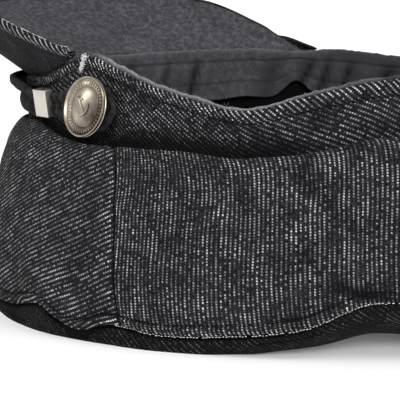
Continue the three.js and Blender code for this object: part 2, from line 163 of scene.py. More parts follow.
# Dents and folds of the crown's side: around, share down, degrees wide, share tall, share of the overhang out.
FOLDS = [
    (71, 0.93, 5, 0.18, 0.1),
    (58, 0.95, 6, 0.2, -0.05),
    (92, 0.6, 10, 0.16, -0.07),
    (114, 0.36, 5, 0.14, -0.1),
    (121, 0.88, 6, 0.13, -0.16),
    (148, 0.5, 9, 0.3, 0.09),
    (176, 0.45, 7, 0.25, -0.12),
    (-32, 0.6, 9, 0.2, -0.1),
    (-58, 0.9, 8, 0.2, 0.12),
    (-96, 0.5, 10, 0.25, -0.09),
    (-128, 0.8, 8, 0.18, -0.14),
    (-160, 0.4, 8, 0.25, 0.08),
]

# Sharp creases of the crown's side: around and height in mm of both ends, mm wide, mm out.
CREASES = [
    (110, 50, 118, 37, 2.2, -1.3),
    (112, 52, 120, 40, 2.2, 0.7),
    (116, 20, 128, 14, 2.2, -1.9),
    (117, 25, 127, 20, 2.6, 0.9),
    (86, 48, 99, 43, 3.2, -0.35),
    (70, 30, 73, 10, 3.2, 0.3),
    (140, 52, 150, 20, 4.0, -0.8),
    (165, 50, 172, 16, 4.0, 0.8),
    (-45, 46, -52, 12, 4.0, -0.7),
    (-85, 48, -95, 22, 4.0, 0.7),
    (-120, 30, -132, 8, 3.4, -0.9),
    (-150, 48, -158, 18, 4.0, 0.8),
]

# Waves of the sweatband's free edge: around, degrees wide, lift and reach inwards as shares of its height.
WAVES = [
    (-58.5, 3.5, 0.42, 0.1),
    (-47, 5, 0.1, 0.14),
    (-70, 6, -0.1, 0.2),
    (-24, 6, -0.03, 0.1),
    (0, 5, 0.04, 0.18),
    (30, 8, 0.08, 0.12),
    (70, 8, -0.06, 0.15),
    (110, 9, -0.06, 0.15),
    (150, 8, 0.1, 0.1),
    (-100, 8, 0.08, 0.12),
    (-150, 9, -0.05, 0.08),
]

# Upright wrinkles of the sweatband's inner face: around, degrees wide, mm in.
WRINKLES = [
    (-12, 1.6, 1.2),
    (-18, 1.4, -0.8),
    (-25.5, 2.0, 1.2),
    (-28, 2.4, -1.0),
    (-30.6, 1.8, 1.3),
    (-33.2, 1.2, 0.8),
    (-35.3, 1.2, -1.3),
    (-37.6, 1.6, 1.1),
    (-45, 2.5, 0.4),
    (-53, 2.2, -0.4),
    (-61.3, 1.2, -1.1),
    (-63.1, 1.0, 1.4),
    (-64.9, 1.1, -1.2),
    (-67, 1.6, 1.2),
    (-69.6, 1.4, -1.0),
    (-73, 2.0, 0.9),
    (-78, 1.8, -0.9),
    (-84, 2.2, 0.9),
    (20, 2, 0.9),
    (95, 2.5, 0.8),
    (130, 2, -0.8),
    (170, 2, 0.9),
    (-130, 2, 0.9),
]


def apart(a: Union[float, Array], b: float) -> Array:
    """The signed angle from b to a, from -180 to 180 degrees."""
    return (np.asarray(a, float) - b + 540) % 360 - 180


def bump(distance: Array, wide: float) -> Array:
    """A round bump of height 1 at 0 that has faded out at about twice its width."""
    return np.exp(-((distance / wide) ** 2))


def smooth(x: Array, low: float, high: float) -> Array:
    """A smooth step from 0 at low to 1 at high."""
    t = np.clip((x - low) / (high - low), 0, 1)
    return t * t * (3 - 2 * t)


NEAR = (0.35, 0.9, 1.6)


def edge_spaced(
    length: float, step: float, near: Sequence[float] = NEAR, far: Optional[Sequence[float]] = None
) -> Array:
    """Places along a length, close together near both ends.

    Args:
        length: The whole length.
        step: The spacing in the middle.
        near: Distances from the start that get a place too.
        far: The same for the end, or as at the start.

    Returns:
        The places, from 0 to the length.
    """
    far = near if far is None else far
    first, last = near[-1] + step * 0.6, length - far[-1] - step * 0.6
    count = max(int(round((last - first) / step)), 2)
    middle = np.linspace(first, last, count + 1)
    return np.concatenate([[0, *near], middle, length - np.array([0, *far])[::-1]])


def running(points: Array, axis: int) -> Array:
    """The running length along an axis of a grid of points, starting at 0."""
    steps = np.linalg.norm(np.diff(points, axis=axis), axis=-1)
    start = np.zeros_like(np.take(steps, [0], axis=axis))
    return np.concatenate([start, np.cumsum(steps, axis=axis)], axis=axis)


def normals(points: Array, ring: bool) -> Array:
    """Unit normals of a grid whose columns go round the cap to the right and rows go down: they point out.

    Args:
        points: The grid, columns by rows by 3.
        ring: Whether the last column is the first one again.

    Returns:
        The normals, as a grid of the same size.
    """
    if ring:
        wide = np.concatenate([points[-2:-1], points, points[1:2]])
        across = wide[2:] - wide[:-2]
    else:
        across = np.gradient(points, axis=0)
    along = np.gradient(points, axis=1)
    n = np.cross(along, across)
    return n / np.maximum(np.linalg.norm(n, axis=-1, keepdims=True), 1e-9)


def rumple(points: Array, size: float, seed: float, octaves: int = 2) -> Array:
    """Smooth noise from -1 to 1 at each point of a grid in mm, with features of a size in mm."""
    flat = points.reshape(-1, 3) / size + seed
    values = [noise.fractal(Vector(p), 0.6, 2.0, octaves) for p in flat]
    return np.array(values).reshape(points.shape[:-1])


# Meshes


def clear_selection() -> None:
    """Deselects every object, so that an operator acts on new work alone."""
    for o in bpy.context.selected_objects:
        o.select_set(False)


def cloth_uv(points: Array, turn: float, row: Optional[int] = None, level: bool = False) -> Array:
    """The place on the flat cloth of each point of a panel, in metres, with V along the twill's ribs.

    Args:
        points: The panel's grid in mm, columns to the right and rows down.
        turn: The ribs' rise in degrees, above the row that is laid straight.
        row: The row that is laid straight, or the middle one.
        level: Whether that row keeps its own heights, so that the rise is above level.

    Returns:
        The UV grid, columns by rows by 2.
    """
    middle = points.shape[1] // 2 if row is None else row
    right = running(points, 0)[:, middle][:, None] + np.zeros(points.shape[:2])
    down = running(points, 1)
    up = down[:, middle, None] - down
    if level:
        up = up + points[:, middle, 2:]
    c, s = math.cos(math.radians(turn)), math.sin(math.radians(turn))
    return np.stack([-s * right + c * up, c * right + s * up], -1) * MM


@dataclass
class Wall:
    """A closed cloth wall between an outer and an inner grid, with rounded edges, in mm."""

    name: str
    outer: Array
    inner: Array
    uv: Array
    ring: bool = False
    round_edge: float = 0.6
    wear: Optional[Array] = None
    breaks: Sequence[int] = ()

    def edge_lines(self) -> list[tuple[list[int], list[int]]]:
        """The grid's edges, each as its points' numbers and those of the next line inwards."""
        columns, rows = self.outer.shape[:2]
        at = np.arange(columns * rows).reshape(columns, rows)
        lines = [(at[:, 0], at[:, 1]), (at[:, -1], at[:, -2])]
        if not self.ring:
            lines += [(at[0], at[1]), (at[-1], at[-2])]
        return [(list(a), list(b)) for a, b in lines]

    def build(self) -> bpy.types.Object:
        """Makes the mesh object, with its cloth UV, its worn and painted-shade values, and with its second material
        inside.
        """
        columns, rows = self.outer.shape[:2]
        count = columns * rows
        outer, inner = self.outer.reshape(-1, 3), self.inner.reshape(-1, 3)
        points, uv = [*outer, *inner], [*self.uv.reshape(-1, 2)] * 2
        wear = np.zeros(count) if self.wear is None else self.wear.reshape(-1)
        worn = [*wear] * 2
        faces: list[tuple[int, ...]] = []
        inside: list[bool] = []
        skipped = set(self.breaks)
        for i in range(columns - 1):
            for j in range(rows - 1):
                if j in skipped:
                    continue
                a, b, c, d = i * rows + j, (i + 1) * rows + j, (i + 1) * rows + j + 1, i * rows + j + 1
                faces += [(a, b, c, d), (count + d, count + c, count + b, count + a)]
                inside += [False, True]
        corner: dict[int, list[int]] = {}
        for line, within in self.edge_lines():
            middles = []
            for a, b in zip(line, within):
                push = outer[a] - outer[b] + inner[a] - inner[b]
                push = push / max(np.linalg.norm(push), 1e-9) * self.round_edge
                middles.append(len(points))
                points.append((outer[a] + inner[a]) / 2 + push)
                beyond = np.linalg.norm(points[-1] - outer[a]) / max(np.linalg.norm(outer[a] - outer[b]), 1e-6)
                uv.append(uv[a] + (uv[a] - uv[b]) * beyond)
                worn.append(worn[a])
            for k in range(len(line) - 1):
                if line[k + 1] - line[k] == 1 and line[k] % rows in skipped:
                    continue
                a, b, ma, mb = line[k], line[k + 1], middles[k], middles[k + 1]
                faces += [(a, b, mb, ma), (ma, mb, count + b, count + a)]
                inside += [False, False]
            for a, m in ((line[0], middles[0]), (line[-1], middles[-1])):
                corner.setdefault(a, []).append(m)
        for a, made in corner.items():
            if not self.ring and len(made) == 2:
                faces.append((a, made[0], count + a, made[1]))
                inside.append(False)
        return mesh_object(self.name, points, faces, uv, worn, inside)


def mesh_object(
    name: str,
    points: Sequence[Sequence[float]],
    faces: Sequence[tuple[int, ...]],
    uv: Optional[Sequence[Sequence[float]]] = None,
    worn: Optional[Sequence[float]] = None,
    inside: Optional[Sequence[bool]] = None,
) -> bpy.types.Object:
    """Makes a closed, smooth mesh object from points in mm.

    Args:
        name: The piece's name.
        points: The points, in mm in the row frame.
        faces: The faces' corners.
        uv: Each point's place on the flat cloth, in metres.
        worn: Each point's value for the finish: worn edges, tarnish, and painted shade in creases, seams and grooves.
        inside: Whether each face takes the second material.

    Returns:
        The object, linked to the scene, with its faces outwards.
    """
    mesh = bpy.data.meshes.new(name)
    mesh.from_pydata([tuple(float(x) * MM for x in p) for p in points], [], list(faces))
    if uv is not None:
        corners = np.zeros(len(mesh.loops), np.int32)
        mesh.loops.foreach_get("vertex_index", corners)
        layer = mesh.uv_layers.new(name=CLOTH_UV)
        layer.data.foreach_set("uv", np.array(uv, np.float32)[corners].ravel())
    if worn is not None:
        layer = mesh.attributes.new(WEAR_AND_PAINTED_SHADE, "FLOAT", "POINT")
        layer.data.foreach_set("value", np.array(worn, np.float32))
    if inside is not None:
        mesh.polygons.foreach_set("material_index", np.array(inside, np.int32))
    shape = bmesh.new()
    shape.from_mesh(mesh)
    bmesh.ops.remove_doubles(shape, verts=shape.verts, dist=2e-6)
    bmesh.ops.dissolve_degenerate(shape, edges=shape.edges, dist=1e-6)
    bmesh.ops.recalc_face_normals(shape, faces=shape.faces)
    if shape.calc_volume(signed=True) < 0:
        bmesh.ops.reverse_faces(shape, faces=shape.faces)
    shape.to_mesh(mesh)
    shape.free()
    mesh.shade_smooth()
    made = bpy.data.objects.new(name, mesh)
    bpy.context.scene.collection.objects.link(made)
    return made


def dress(piece: bpy.types.Object, *materials: bpy.types.Material) -> bpy.types.Object:
    """Gives a piece its materials, in the order of its faces' material numbers."""
    for material in materials:
        piece.data.materials.append(material)
    return piece


# Shaders


class Sock:
    """A value in a shader, a link or a number, with Python's operators."""

    def __init__(self, shader: "Shader", source: bpy.types.NodeSocket) -> None:
        """Keeps the link's source and the shader that it is in."""
        self.shader = shader
        self.source = source

    def math(self, operation: str, *others: Union["Sock", float]) -> "Sock":
        """Adds a Math node on this value and the others."""
        return self.shader.math(operation, self, *others)

    def __add__(self, other: Union["Sock", float]) -> "Sock":
        """Adds."""
        return self.math("ADD", other)

    __radd__ = __add__

    def __mul__(self, other: Union["Sock", float]) -> "Sock":
        """Multiplies."""
        return self.math("MULTIPLY", other)

    __rmul__ = __mul__

    def __sub__(self, other: Union["Sock", float]) -> "Sock":
        """Subtracts."""
        return self.math("SUBTRACT", other)

    def __rsub__(self, other: Union["Sock", float]) -> "Sock":
        """Subtracts from a number."""
        return self.shader.math("SUBTRACT", other, self)

    def __truediv__(self, other: Union["Sock", float]) -> "Sock":
        """Divides."""
        return self.math("DIVIDE", other)

    def __pow__(self, other: Union["Sock", float]) -> "Sock":
        """Raises to a power."""
        return self.math("POWER", other)

    def floor(self) -> "Sock":
        """Rounds down."""
        return self.math("FLOOR")

    def frac(self) -> "Sock":
        """Keeps the part after the point."""
        return self.math("FRACT")

    def clamp(self) -> "Sock":
        """Keeps the value from 0 to 1."""
        return self.math("MAXIMUM", 0.0).math("MINIMUM", 1.0)

    def spot(self, half: float) -> "Sock":
        """A round spot of height 1 in the middle of each whole step, this far to its edge."""
        away = (self.frac() - 0.5) / half
        return (1.0 - away * away).clamp()


@dataclass
class Shader:
    """A material's node tree, built by expressions."""

    name: str
    material: bpy.types.Material = field(init=False)
    tree: bpy.types.NodeTree = field(init=False)

    def __post_init__(self) -> None:
        """Makes an empty material with its surface shader and output."""
        self.material = bpy.data.materials.new(self.name)
        self.material.use_nodes = True
        self.tree = self.material.node_tree
        self.tree.nodes.clear()

    def node(
        self,
        kind: str,
        settings: Optional[dict[str, object]] = None,
        sockets: Optional[dict[Union[str, int], object]] = None,
    ) -> bpy.types.Node:
        """Adds a node.

        Args:
            kind: The node's type.
            settings: Its settings, which are set first; stops are a ramp's places and colours.
            sockets: Its inputs' values or links, by name or number.

        Returns:
            The node.
        """
        made = self.tree.nodes.new(kind)
        for key, value in (settings or {}).items():
            if key == "stops":
                ramp = made.color_ramp
                for i, (place, colour) in enumerate(value):
                    stop = ramp.elements[i] if i < 2 else ramp.elements.new(place)
                    stop.position, stop.color = place, (*colour, 1.0)
            else:
                setattr(made, key, value)
        for key, value in (sockets or {}).items():
            if isinstance(value, Sock):
                self.tree.links.new(value.source, made.inputs[key])
            elif isinstance(value, tuple) and len(value) == 3 and made.inputs[key].type == "RGBA":
                made.inputs[key].default_value = (*value, 1.0)
            else:
                made.inputs[key].default_value = value
        return made

    def out(self, made: bpy.types.Node, name: Union[str, int] = 0) -> Sock:
        """An output of a node."""
        return Sock(self, made.outputs[name])

    def math(self, operation: str, *values: Union[Sock, float]) -> Sock:
        """Adds a Math node."""
        sockets = dict(enumerate(values))
        return self.out(self.node("ShaderNodeMath", {"operation": operation}, sockets))

    def mix(self, share: Sock, low: Union[Sock, Colour], high: Union[Sock, Colour]) -> Sock:
        """Mixes two colours."""
        made = self.node("ShaderNodeMix", {"data_type": "RGBA"}, {0: share, 6: low, 7: high})
        return self.out(made, 2)

    def place(self) -> Sock:
        """The place in the piece, in metres."""
        return self.out(self.node("ShaderNodeTexCoord"), "Object")

    def cloth(self) -> tuple[Sock, Sock]:
        """The place on the flat cloth, in metres: across the ribs and along them."""
        uv = self.out(self.node("ShaderNodeUVMap", {"uv_map": CLOTH_UV}))
        parts = self.node("ShaderNodeSeparateXYZ", None, {0: uv})
        return self.out(parts, 0), self.out(parts, 1)

    def join(self, x: Union[Sock, float], y: Union[Sock, float]) -> Sock:
        """A vector from two numbers."""
        return self.out(self.node("ShaderNodeCombineXYZ", None, {0: x, 1: y}))

    def noise(self, where: Sock, size: float, detail: float = 2.0, rough: float = 0.5) -> Sock:
        """Noise from 0 to 1 with features of a size in metres."""
        sockets = {"Vector": where, "Scale": 1 / size, "Detail": detail, "Roughness": rough}
        return self.out(self.node("ShaderNodeTexNoise", None, sockets), 0)

    def attribute(self, name: str) -> Sock:
        """A number that the mesh holds at each point."""
        return self.out(self.node("ShaderNodeAttribute", {"attribute_name": name}), "Fac")

    def bumped(self, height: Sock, depth: float, strength: float = 1.0) -> Sock:
        """A normal from a height, with the depth in metres."""
        sockets = {"Height": height, "Distance": depth, "Strength": strength}
        return self.out(self.node("ShaderNodeBump", None, sockets))

    def surface(self, **sockets: object) -> bpy.types.Material:
        """Adds the surface shader and the output.

        Args:
            sockets: The shader's inputs, with _ for a space in their names.

        Returns:
            The finished material.
        """
        named = {key.replace("_", " "): value for key, value in sockets.items()}
        made = self.node("ShaderNodeBsdfPrincipled", None, named)
        self.node("ShaderNodeOutputMaterial", None, {0: self.out(made)})
        return self.material


@dataclass(frozen=True)
class Denim:
    """A 3/1 twill of black warp and pale weft: dotted ribs on a dark, dusty ground."""

    name: str
    ground: Colour = (0.004, 0.0037, 0.0045)
    dusty: Colour = (0.075, 0.071, 0.081)
    pale: Colour = (0.85, 0.84, 0.86)
    rib: float = 1.32 * MM
    pick: float = 0.8 * MM
    showing: float = 1.0
    worn_showing: float = 0.8
    slant: float = 0.38

    def material(self) -> bpy.types.Material:
        """Builds the finish."""
        s = Shader(self.name)
        where = s.place()
        across, along = s.cloth()
        wear = s.attribute(WEAR_AND_PAINTED_SHADE)
        # Above 0 the attribute marks worn places; below 0 it is painted shade that darkens flecks and ground in
        # creases, seams and grooves.
        worn, painted_shade = wear.math("MAXIMUM", 0.0), wear.math("MINIMUM", 0.0)
        sway = s.noise(where, 24 * MM, 1.0)
        ribs = across / self.rib + (sway - 0.5) * 1.3
        rib = ribs.floor()
        loose = s.out(s.node("ShaderNodeTexWhiteNoise", {"noise_dimensions": "1D"}, {"W": rib}))
        picks = along / self.pick + rib * self.slant + loose * 0.35
        pick = picks.floor()
        chance = s.node("ShaderNodeTexWhiteNoise", {"noise_dimensions": "2D"}, {"Vector": s.join(rib, pick)})
        bright = s.out(chance, 0)
        fleck = (ribs.spot(0.21 - worn * 0.06) * picks.spot(worn * 0.22 + 0.36) * 1.5).clamp()
        patch = s.noise(where, 8 * MM, 3.0, 0.6)
        streak = s.noise(s.join(across / (2.6 * MM), along / (9 * MM)), 1.0, 2.0)
        lively = ((patch * 2.2 - 0.55) * (streak * 2.4 - 0.55)).clamp()
        chosen = (bright * 1.3 - 0.12 + worn * 0.3).clamp()
        strength = chosen * (lively * self.showing + worn * self.worn_showing)
        lit = (fleck * strength * (painted_shade + 1.0)).clamp()
        fibre = s.noise(where, 0.42 * MM, 2.0, 0.75)
        dust = (fibre * 2.6 - 1.15 + (patch - 0.5) * 0.6).clamp()
        rib_form = 1.0 - (ribs.frac() - 0.5).math("ABSOLUTE") * 2.0
        ground = s.mix(dust * (rib_form * 0.6 + 0.4) * (painted_shade + 1.0), self.ground, self.dusty)
        colour = s.mix(lit, ground, self.pale)
        height = rib_form * 0.5 + fleck * 0.5 + fibre * 0.35
        return s.surface(
            Base_Color=colour,
            Roughness=0.95,
            Specular_IOR_Level=0.1,
            Normal=s.bumped(height, 0.22 * MM, 0.8),
        )


@dataclass(frozen=True)
class Cotton:
    """A plain dark cotton with a fine weave and soft mottling."""

    name: str
    dark: Colour
    light: Colour
    thread: float = 0.45 * MM
    mottle: float = 2.2 * MM
    specks: float = 0.0
    worn: Colour = (0.24, 0.24, 0.26)

    def material(self) -> bpy.types.Material:
        """Builds the finish."""
        s = Shader(self.name)
        where = s.place()
        across, along = s.cloth()
        cells = (across / self.thread).spot(0.5) * (along / self.thread).spot(0.5)
        cloud = s.noise(where, self.mottle, 4.0, 0.65)
        slow = s.noise(where, 14 * MM, 2.0)
        fibre = s.noise(where, 0.35 * MM, 2.0, 0.7)
        wear = s.attribute(WEAR_AND_PAINTED_SHADE)
        painted_shade = wear.math("MINIMUM", 0.0)
        share = (cloud * 2.4 - 1.0 + (slow - 0.5) * 0.6 + (fibre - 0.5) * 0.6 + painted_shade).clamp()
        speck = (fibre * 3.2 - 1.9).clamp() * self.specks
        # Painted shade: below 0 the attribute darkens the cotton towards black in the binding lines, the wrinkle
        # valleys and the band's far left side.
        plain = s.mix((painted_shade * -0.6).clamp(), s.mix(share, self.dark, self.light), (0.002, 0.002, 0.002))
        rubbed = s.mix((wear * (fibre * 4.4 - 1.5)).clamp(), plain, self.worn)
        colour = s.mix(speck, rubbed, (0.3, 0.3, 0.32))
        height = cells * 0.4 + fibre * 0.6 + cloud * 0.5
        return s.surface(
            Base_Color=colour,
            Roughness=0.95,
            Specular_IOR_Level=0.1,
            Normal=s.bumped(height, 0.12 * MM, 0.7),
        )


@dataclass(frozen=True)
class Suede:
    """A matte, worn, dark strap leather with a fine nap."""

    name: str
    dark: Colour = (0.004, 0.0035, 0.0038)
    worn: Colour = (0.035, 0.03, 0.03)

    def material(self) -> bpy.types.Material:
        """Builds the finish."""
        s = Shader(self.name)
        where = s.place()
        nap = s.noise(where, 0.4 * MM, 3.0, 0.7)
        scuff = s.noise(where, 3.5 * MM, 4.0, 0.65)
        # Above 0 the attribute rubs the leather paler; below 0 it is painted shade in the pleats' hollows.
        share = (scuff * 1.8 - 0.75 + (nap - 0.5) * 0.8 + s.attribute(WEAR_AND_PAINTED_SHADE) * 0.5).clamp()
        colour = s.mix(share, self.dark, self.worn)
        return s.surface(
            Base_Color=colour,
            Roughness=(0.92 - share * 0.12),
            Specular_IOR_Level=0.12,
            Normal=s.bumped(nap * 0.6 + scuff * 0.8, 0.16 * MM, 0.8),
        )


@dataclass(frozen=True)
class Metal:
    """A metal with fine scratches and tarnish that gathers in its hollows, and painted shade where a piece's
    attribute asks for it.
    """

    name: str
    bright: Colour
    tarnish: Colour
    smoothness: float
    age: float

    def material(self) -> bpy.types.Material:
        """Builds the finish."""
        s = Shader(self.name)
        where = s.place()
        cloud = s.noise(where, 4.5 * MM, 4.0, 0.6)
        scratch = s.noise(where, 0.25 * MM, 3.0, 0.7)
        # The attribute holds tarnish in hollows and, on the button, painted shade towards its lower right.
        tarnish_and_painted_shade = s.attribute(WEAR_AND_PAINTED_SHADE)
        share = ((cloud * 2.0 - 0.95) * self.age + tarnish_and_painted_shade + (scratch - 0.5) * 0.3 * self.age).clamp()
        return s.surface(
            Base_Color=s.mix(share, self.bright, self.tarnish),
            Metallic=1.0,
            Roughness=(self.smoothness + share * 0.25 + (scratch - 0.5) * 0.1).clamp(),
            Normal=s.bumped(scratch + cloud * 0.3, 0.03 * MM, 0.6),
        )


@dataclass(frozen=True)
class Thread:
    """A pale or dark sewing thread."""

    name: str
    colour: Colour
    dirt: Colour

    def material(self) -> bpy.types.Material:
        """Builds the finish."""
        s = Shader(self.name)
        where = s.place()
        twist = s.noise(where, 0.5 * MM, 3.0, 0.7)
        colour = s.mix((twist * 2.2 - 0.6).clamp(), self.dirt, self.colour)
        return s.surface(Base_Color=colour, Roughness=0.8, Normal=s.bumped(twist, 0.05 * MM))


@dataclass(frozen=True)
class Finishes:
    """Every finish of the cap, built once."""

    denim: bpy.types.Material
    tip_denim: bpy.types.Material
    peak_denim: bpy.types.Material
    inside: bpy.types.Material
    underside: bpy.types.Material
    cotton: bpy.types.Material
    suede: bpy.types.Material
    steel: bpy.types.Material
    silver: bpy.types.Material
    pale_thread: bpy.types.Material
    grey_fibre: bpy.types.Material

    @classmethod
    def made(cls) -> "Finishes":
        """Builds them all."""
        return cls(
            denim=Denim("charcoal_denim").material(),
            # A darker copy of the denim with few flecks: painted shade for the crown top, which faces down.
            tip_denim=Denim(
                "charcoal_denim_tip", (0.002, 0.002, 0.002), (0.03, 0.027, 0.029), showing=0.2
            ).material(),
            # A copy of the denim with few flecks: painted shade for the peak's face, which looks down; its turned
            # near edge is rubbed paler.
            peak_denim=Denim("charcoal_denim_peak", showing=0.14, worn_showing=0.48).material(),
            inside=Cotton("black_lining", (0.0015, 0.0015, 0.002), (0.004, 0.004, 0.005)).material(),
            underside=Cotton(
                "brushed_grey_cotton", (0.032, 0.032, 0.038), (0.105, 0.103, 0.117), mottle=1.7 * MM, specks=0.6
            ).material(),
            cotton=Cotton("sweatband_cotton", (0.04, 0.04, 0.045), (0.085, 0.085, 0.096)).material(),
            suede=Suede("strap_suede").material(),
            steel=Metal("slider_steel", (0.6, 0.57, 0.52), (0.25, 0.21, 0.17), 0.36, 0.15).material(),
            silver=Metal("button_silver", (0.47, 0.42, 0.345), (0.055, 0.039, 0.027), 0.27, 0.55).material(),
            pale_thread=Thread("pale_thread", (0.75, 0.74, 0.74), (0.35, 0.34, 0.35)).material(),
            grey_fibre=Thread("grey_fibre", (0.42, 0.42, 0.44), (0.16, 0.16, 0.17)).material(),
        )


# The form of the cap


@dataclass(frozen=True)
class Form:
    """The cap's driving sizes in mm and degrees, and the curves that all its pieces follow."""

    head_length: float = 196.0
    head_width: float = 166.0
    centre_x: float = 15.64
    denim_wall: float = 1.6
    sweatband_wall: float = 1.1
    seam_gap: float = 0.3
    panel_gap: float = 0.36
    rim_height: float = 79.0
    overhang: float = 15.0
    side_fall: float = 4.5
    puff_dip: float = 0.35
    dip_slope: tuple[float, float] = (0.45, 0.15)

    @property
    def band_out(self) -> float:
        """How far out of the head oval the band's outer face is."""
        return self.sweatband_wall + self.seam_gap + self.denim_wall

    def outward(self, around: Array) -> Array:
        """The outward direction of the head oval in plan."""
        a = np.radians(np.asarray(around, float))
        zero = np.zeros_like(a)
        d = np.stack([-np.cos(a) / self.head_length, -np.sin(a) / self.head_width, zero], -1)
        return d / np.linalg.norm(d, axis=-1, keepdims=True)

    def place(self, around: Array, out: Array, z: Array) -> Array:
        """Points this far out of the head oval, at these heights."""
        around, out, z = np.broadcast_arrays(
            np.asarray(around, float), np.asarray(out, float), np.asarray(z, float)
        )
        a = np.radians(around)
        x = self.centre_x - self.head_length / 2 * np.cos(a)
        y = -self.head_width / 2 * np.sin(a)
        return np.stack([x, y, z], -1) + self.outward(around) * out[..., None]

    def rim_z(self, around: Array) -> Array:
        """The rim's height."""
        near, far = RIM.read("near", around), RIM.read("far", around)
        return self.rim_height * np.where(apart(around, 0) >= 0, near, far)

    def left_fall(self, around: Array) -> Array:
        """How much lower the left side hangs."""
        side = np.sin(np.radians(around)) ** 2
        return np.where(apart(around, 0) < 0, self.side_fall * side, 0)

    def beyond(self, name: str, around: Array) -> Array:
        """A section's width, beyond the band's face."""
        return self.band_out + self.overhang * SECTIONS.read(name, around)

    def puff_z(self, around: Array) -> Array:
        """The height of the puff's top."""
        return self.rim_height * SECTIONS.read("puff_z", around) - self.left_fall(around)

    def seam_z(self, around: Array) -> Array:
        """The height of the seam between crown and band."""
        return self.puff_z(around) - self.puff_dip * (self.beyond("puff", around) - self.band_out)

    def fold_out(self, around: Array, down: Array) -> Array:
        """How far the soft folds push the crown out."""
        total = 0.0
        for at, share, wide, tall, out in FOLDS:
            total = total + out * bump(apart(around, at), wide) * bump(down - share, tall)
        return self.overhang * total

    def crease_out(self, around: Array, z: Array) -> Array:
        """How far the sharp creases push the crown out."""
        per_degree = 1.75
        total = 0.0
        for at0, z0, at1, z1, wide, out in CREASES:
            x, y = apart(around, at0) * per_degree, z - z0
            dx, dy = (at1 - at0) * per_degree, z1 - z0
            t = np.clip((x * dx + y * dy) / (dx * dx + dy * dy), 0, 1)
            distance = np.hypot(x - t * dx, y - t * dy)
            total = total + out * np.exp(-np.abs(distance / wide) ** 1.6)
        return total

    def crease_painted_shade(self, around: Array, z: Array) -> Array:
        """The painted shade of the sharp creases that go inwards, from 0 to 1."""
        return np.clip(-self.crease_out(around, z) / 1.6, 0, 1) ** 1.5

    def crown_side(self, around: Array, v: Array) -> tuple[Array, Array]:
        """The crown side's face from the band seam, over the puff, to the tip seam.

        Args:
            around: Degrees around.
            v: Shares of the way down, from 0 to 1.

        Returns:
            How far out of the head oval it is, and its height.
        """
        around, v = np.broadcast_arrays(np.asarray(around, float), np.asarray(v, float))
        start = self.band_out + 1.5 * self.seam_gap
        seam, top = self.seam_z(around), self.puff_z(around)
        fall = top - self.rim_height * SECTIONS.read("tip_z", around)
        puff, belly = self.beyond("puff", around), self.beyond("belly", around)
        hip, tip = self.beyond("hip", around), self.beyond("tip", around)
        slope_out, slope_up = self.dip_slope
        knots = [
            (start + 0 * puff, seam),
            (start + slope_out * (puff - start), seam + slope_up * (top - seam)),
            (puff, top),
            (0.5 * (puff + belly), top - 0.12 * fall),
            (belly, top - 0.4 * fall),
            (hip, top - 0.75 * fall),
            (tip, top - fall),
        ]
        xs, zs = (np.stack([knot[k] for knot in knots]) for k in (0, 1))
        n = len(knots)
        p = np.clip((n - 1) * v, 0, n - 1)
        i = np.minimum(np.floor(p).astype(int), n - 2)
        t = p - i

        def curve(c: Array) -> Array:
            """The smooth curve through the knots' values."""
            pick = lambda k: np.take_along_axis(c, np.clip(k, 0, n - 1)[None], 0)[0]
            p0, p1, p2, p3 = pick(i - 1), pick(i), pick(i + 1), pick(i + 2)
            v0, v1 = (p2 - p0) / 2, (p3 - p1) / 2
            return (2 * p1 - 2 * p2 + v0 + v1) * t**3 + (3 * p2 - 3 * p1 - 2 * v0 - v1) * t**2 + v0 * t + p1

        out, z = curve(xs), curve(zs)
        free = smooth(v, 0.25, 0.45)
        return out + self.fold_out(around, v) + free * self.crease_out(around, z), z


FORM = Form()


class Side(Enum):
    """The wearer's sides."""

    RIGHT = 1
    LEFT = -1


# The pieces


